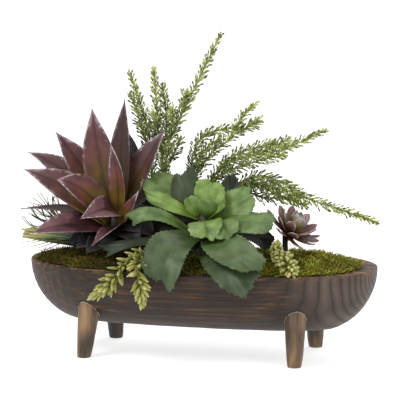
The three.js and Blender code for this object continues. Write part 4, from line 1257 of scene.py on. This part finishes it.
def trailing_sedum(name, points, count, seed):
    """A stem whose leaves stand wide apart at its foot and close into a head at its tip."""
    random = np.random.RandomState(seed)
    part = np.linspace(0, 1, count)
    at = np.where(part < 0.45, 0.15 + part / 0.45 * 0.57, 0.72 + (part - 0.45) / 0.55 * 0.28)
    closing = np.clip((part - 0.45) / 0.55, 0, 1)
    leans = np.where(part < 0.45, 50, 50 - 46 * closing ** 2) + random.uniform(-8, 8, count)
    leaves = sedum_leaves(POINTED, points, at, leans, 24 - 6 * closing, random, seed)
    return joined(name, [sedum_foot(points[0], points[0][2] + 2), sedum_stem(points, 2.0), leaves])


def packed_sedum(name, stems, count, seed):
    """Stems hidden by round leaves, which point outwards and a little to the tip."""
    random = np.random.RandomState(seed)
    at = np.linspace(0.2, 1, count)
    leans = 82 - 62 * np.linspace(0, 1, count) ** 4
    parts = [sedum_foot(stems[0][0], 176)]
    for points in stems:
        length = 12 if points[-1][2] > 200 else 18
        leaves = sedum_leaves(ROUND, points, at, leans, length, random, seed)
        parts += [sedum_stem(points, 4.5), leaves]
    return joined(name, parts)


# %% [markdown]
# Sedum leaves are moulded in soft polyethylene, with the weak sheen of the painted leaves. Each is
# olive at its foot, where the others shade it, and pale at its point, and a fine mottle makes it
# look fleshy.

# %% Sedum green
sedum_finish, tree, shader = new_material("soft_yellow_green_sedum", {"IOR": 1.45, "Roughness": 0.5})
mottle = lumps(tree, (4, 4, 4), 2.0)
colour = layer(tree, None, ("up", [
    (0.0, "#7c7a34"), (0.35, "#a09c50"), (0.75, "#bebc70"), (0.92, "#c9c688"), (1.0, "#d8d49c"),
]))
colour = layer(tree, colour, ("tint", [(0.0, "#c2c8a8"), (1.0, "#ffffff")]))
colour = layer(tree, colour, (mottle, [(0.35, "#cfcfb4"), (0.65, "#ffffff")]), 0.8)
set_inputs(shader, {"Base Color": colour})
sedum_long = trailing_sedum("trailing_sedum_long", SEDUM_LONG, 62, 51)
sedum_short = trailing_sedum("trailing_sedum_short", SEDUM_SHORT, 50, 52)
sedum_right = packed_sedum("packed_sedum", SEDUM_RIGHT, 64, 53)
for stem, name in ((sedum_long, "sedum_long"), (sedum_short, "sedum_short"), (sedum_right, "sedum_right")):
    finish_piece(stem, "yellow_green_leaf", [name], sedum_finish)

# %% [markdown]
# ## Needle sprays
# Each spray is a wire stem with side stems, set all round with moulded needles. A needle is a thin
# stalk that swells into a bud near its end. Most buds are pale, and a good share of them are old
# and dark. The needles grow close, lean forward and get shorter towards the tip.

# %% Needle sprays
SPRAYS = {
    "sprig_tall": [
        [(-62, 84, 180), (-86, 78, 270), (-80, 76, 351), (-60, 76, 399), (-31, 78, 458), (13, 82, 551)],
        [(-56, 76, 407), (-50, 72, 428), (-47, 70, 451)],
        [(-78, 76, 358), (-74, 71, 392), (-69, 66, 423)],
        [(-82, 76, 318), (-70, 84, 340), (-60, 90, 365)],
    ],
    "sprig_back": [
        [(-78, 98, 180), (-92, 96, 285), (-103, 88, 383), (-104, 84, 428), (-109, 82, 488)],
        [(-98, 98, 325), (-91, 104, 387), (-100, 108, 456)],
        [(-103, 94, 350), (-105, 78, 380), (-109, 66, 411)],
    ],
    "sprig_thin": [
        [(-122, 86, 178), (-116, 96, 286), (-122, 104, 361), (-133, 106, 397), (-145, 106, 434),
         (-159, 106, 477)],
        [(-118, 100, 325), (-131, 92, 369), (-142, 86, 413), (-153, 84, 442)],
    ],
    "sprig_arched": [
        [(-32, 100, 180), (-43, 98, 278), (-4, 92, 339), (23, 90, 361), (50, 88, 403), (76, 90, 431)],
        [(34, 89, 372), (60, 84, 386), (87, 78, 400)],
        [(-42, 98, 284), (-44, 103, 326), (-25, 106, 364), (5, 108, 376), (40, 110, 382)],
        [(-34, 96, 296), (-26, 90, 330), (-8, 86, 352), (14, 84, 366)],
    ],
    "sprig_middle": [
        [(-4, 88, 182), (-12, 84, 272), (19, 76, 317), (60, 72, 335), (122, 70, 350), (203, 72, 387)],
        [(70, 72, 338), (106, 80, 353), (138, 86, 369)],
        [(-10, 80, 284), (20, 70, 304), (60, 62, 322), (104, 60, 336), (136, 62, 342)],
        [(8, 76, 310), (38, 84, 336), (76, 90, 350), (112, 94, 360)],
    ],
    "sprig_low": [
        [(34, 82, 184), (25, 76, 266), (68, 62, 291), (121, 50, 286), (166, 42, 273), (307, 12, 237)],
        [(46, 68, 284), (88, 74, 264), (125, 68, 265), (158, 62, 262)],
        [(44, 66, 288), (84, 74, 302), (124, 70, 292), (168, 60, 274)],
        [(56, 66, 290), (98, 54, 282), (136, 44, 270), (178, 36, 256)],
    ],
}
NEEDLE_LENGTH, NEEDLE_RADIUS, NEEDLE_SPACING = 17.5, 1.7, 1.3
needle = ringed("needle", 4, [
    (0, 0.5, 0.5), (0.55, 0.45, 0.45), (0.7, 0.95, 0.95), (0.86, 0.9, 0.9), (1, 0.15, 0.15),
])
print("branches in the sprays:", sum(len(branches) for branches in SPRAYS.values()))

# %% Setting needles on a stem


def spray(name, branches, seed):
    """A stem on its foot, with side stems, all set with needles. The first branch is the stem."""
    random = np.random.RandomState(seed)
    start = branches[0][0]
    foot = foot_peg(start, 6, (STEM_FOOT, 2.3, 2.3), (start[2] + 2, 2.2, 2.2))
    parts = [plain_attributes(foot, 0, 0, 0.5)]
    for number, points in enumerate(branches):
        thick, bare = (2.4, 0.12) if number == 0 else (1.8, 0.02)
        line = smooth_line(points, 5)[0]
        stem = tube("stem", line.tolist(), np.linspace(thick, 1.0, len(line)), 6)
        parts.append(plain_attributes(stem, 0.2, 0.5, 0.5))
        line, headings, length = smooth_line(points, 0.5)
        count = round(length * (1 - bare) / NEEDLE_SPACING)
        at = np.linspace(bare, 1 - 9 / length, count)
        index = np.round(at * (len(line) - 1)).astype(int)
        leans = 43 * (1 - 0.6 * at ** 8) + random.uniform(-12, 12, count)
        directions = golden_directions(headings[index], leans, random)
        lengths = NEEDLE_LENGTH * random.uniform(0.8, 1.15, count) * (1 - 0.4 * at ** 6)
        shoots = copies("needles", needle, line[index], directions, lengths, NEEDLE_RADIUS, at, seed + number)
        parts.append(shoots)
    return joined(name, parts)


# %% [markdown]
# The needles are bare polyethylene, with its own IOR of 1.5. Their stalks are yellow green and
# their buds a little paler, the old buds are grey green, and all get brighter towards the tip of
# the stem.

# %% Needle green
OLD_BUDS = 0.42
needle_finish, tree, shader = new_material("moulded_needle_green", {"IOR": 1.5, "Roughness": 0.5})
up = add_node(tree, "ShaderNodeAttribute", attribute_name="up").outputs["Fac"]
tint = add_node(tree, "ShaderNodeAttribute", attribute_name="tint").outputs["Fac"]
swollen = add_node(
    tree, "ShaderNodeMapRange", {"Value": up, "From Min": 0.56, "From Max": 0.7, "To Max": 0.75},
).outputs[0]
old = add_node(tree, "ShaderNodeMath", {0: tint, 1: OLD_BUDS}, operation="LESS_THAN").outputs[0]
old = add_node(tree, "ShaderNodeMath", {0: swollen, 1: old}, operation="MULTIPLY").outputs[0]
colour = layer(tree, None, (up, [
    (0.0, "#b8cc68"), (0.5, "#d4de90"), (0.72, "#c8d090"), (1.0, "#d0d69c"),
]))
colour = layer(tree, colour, "#525b46", old, "MIX")
colour = layer(tree, colour, ("life", [(0.15, "#a6ac8c"), (0.6, "#e2e6c6"), (1.0, "#f8f0cc")]))
colour = layer(tree, colour, (tint, [(0.0, "#b4b8a4"), (1.0, "#ffffff")]))
set_inputs(shader, {"Base Color": colour})
for number, (name, branches) in enumerate(SPRAYS.items()):
    finish_piece(spray(name + "_needles", branches, 61 + 10 * number), "needle_green", [name], needle_finish)

# %% [markdown]
# ## The tuft at the left end
# A bundle of blunt plastic blades leans out over the bowl's end. It is dark in the shade of the
# agave and pale at the tips, and a few thin blades hang below it. Fine strands curl up behind it.
# The blades are the needles' plastic, and the strands are duller.

# %% Blades and strands
TUFT_FOOT, TUFT_TIP, TUFT_RADIUS = (-205, 16, 184), (-326, 24, 193), 10
BLADES = 40
THIN_BLADES = [(-330, 5, 179), (-313, -5, 173), (-286, -15, 169), (-322, 14, 176), (-300, 2, 171)]
STRAND_FOOT = (-214, 44, 174)
CURLED_STRANDS = [
    [(-266, 48, 206), (-277, 45, 224), (-288, 45, 236), (-297, 45, 250), (-306, 45, 263)],
    [(-262, 46, 206), (-274, 45, 226), (-281, 44, 238), (-284, 43, 251), (-282, 42, 260)],
    [(-256, 46, 206), (-266, 45, 226), (-274, 45, 237), (-279, 45, 247), (-283, 45, 254)],
    [(-268, 46, 208), (-279, 45, 224), (-288, 45, 234), (-292, 45, 247), (-292, 45, 257)],
    [(-266, 40, 208), (-282, 35, 223), (-296, 35, 235), (-307, 35, 242), (-318, 35, 246)],
    [(-264, 40, 206), (-282, 35, 220), (-300, 35, 226), (-311, 35, 235), (-317, 35, 240)],
    [(-262, 36, 200), (-283, 25, 211), (-305, 25, 206), (-319, 25, 209), (-332, 25, 224)],
    [(-264, 36, 202), (-283, 25, 214), (-299, 25, 217), (-308, 25, 226), (-314, 25, 235)],
    [(-266, 42, 200), (-282, 35, 209), (-295, 35, 221), (-300, 35, 232), (-304, 35, 241)],
    [(-250, 42, 204), (-266, 30, 218), (-286, 25, 214), (-306, 25, 221), (-317, 25, 229)],
]


def tapered(points, radii, tint):
    """A thin tube along a smooth line. Its "up" runs from 0 at its foot to 1 at its tip."""
    line = smooth_line(points, 4)[0]
    sizes = np.interp(np.linspace(0, 1, len(line)), np.linspace(0, 1, len(radii)), radii)
    blade = tube("blade", line.tolist(), sizes, 6)
    set_attribute(blade.data, "tint", np.full(len(blade.data.vertices), tint))
    corners = np.array([corner.co for corner in blade.data.vertices])
    nearest = np.argmin(np.linalg.norm(corners[:, None] - line[None], axis=2), axis=1)
    set_attribute(blade.data, "up", nearest / (len(line) - 1))
    return blade


print("blades:", BLADES + len(THIN_BLADES), "strands:", 3 * len(CURLED_STRANDS))

# %% Tuft of olive blades
random = np.random.RandomState(71)
parts = [plain_attributes(foot_peg(TUFT_FOOT, 8, (STEM_FOOT, 6, 6), (192, 6, 6)), 0, 0, 0)]
for number in range(BLADES):
    turn, out = number * GOLDEN_ANGLE, TUFT_RADIUS * math.sqrt((number + 0.5) / BLADES)
    beside = Vector((0, math.cos(turn), math.sin(turn)))
    foot = Vector(TUFT_FOOT) + beside * out * 1.2
    middle = Vector((-258, 22, 188)) + beside * out * 1.1
    tip = Vector(TUFT_TIP) + beside * out + Vector((random.uniform(-7, 14), 0, random.uniform(-2, 2)))
    parts.append(tapered([foot, middle, tip], [1.3, 1.6, 2.3, 2.5, 1.8], random.random_sample()))
for tip in THIN_BLADES:
    middle = (Vector(TUFT_FOOT) + Vector(tip)) / 2 + Vector((0, 0, 8))
    parts.append(tapered([TUFT_FOOT, middle, tip], [1.3, 1.1, 0.5], 0.2))
tuft_finish, tree, shader = new_material("moulded_olive_blade", {"IOR": 1.5, "Roughness": 0.5})
colour = layer(tree, None, ("up", [
    (0.0, "#20241c"), (0.35, "#33402a"), (0.62, "#6f8048"), (0.86, "#aca668"), (1.0, "#c8c094"),
]))
colour = layer(tree, colour, ("tint", [(0.0, "#a8a890"), (1.0, "#ffffff")]))
set_inputs(shader, {"Base Color": colour})
finish_piece(joined("olive_tuft", parts), "needle_green", ["sprig_left"], tuft_finish)

# %% Bunch of curled strands
parts = [plain_attributes(foot_peg(STRAND_FOOT, 6, (STEM_FOOT, 2.3, 2.3), (176, 2, 2)), 0, 0, 0)]
for row, points in enumerate(CURLED_STRANDS * 3):
    shift = np.linspace(0, 1, len(points))[:, None] * random.normal(size=3) * (0 if row < 10 else 6)
    line = [STRAND_FOOT, *(np.array(points) + shift)]
    parts.append(tapered(line, [1.4, 1.2, 1.1, 0.9, 0.6], random.random_sample()))
strand_finish, tree, shader = new_material("dark_olive_strand", {"Roughness": 0.6})
colour = layer(tree, None, ("tint", [(0.3, "#33321f"), (0.6, "#6a6c34"), (1.0, "#96964e")]))
set_inputs(shader, {"Base Color": colour})
finish_piece(joined("curled_strands", parts), "twig", ["twigs_left"], strand_finish)
for model in (needle, sedum_leaf, bead_leaf):
    bpy.data.objects.remove(model)
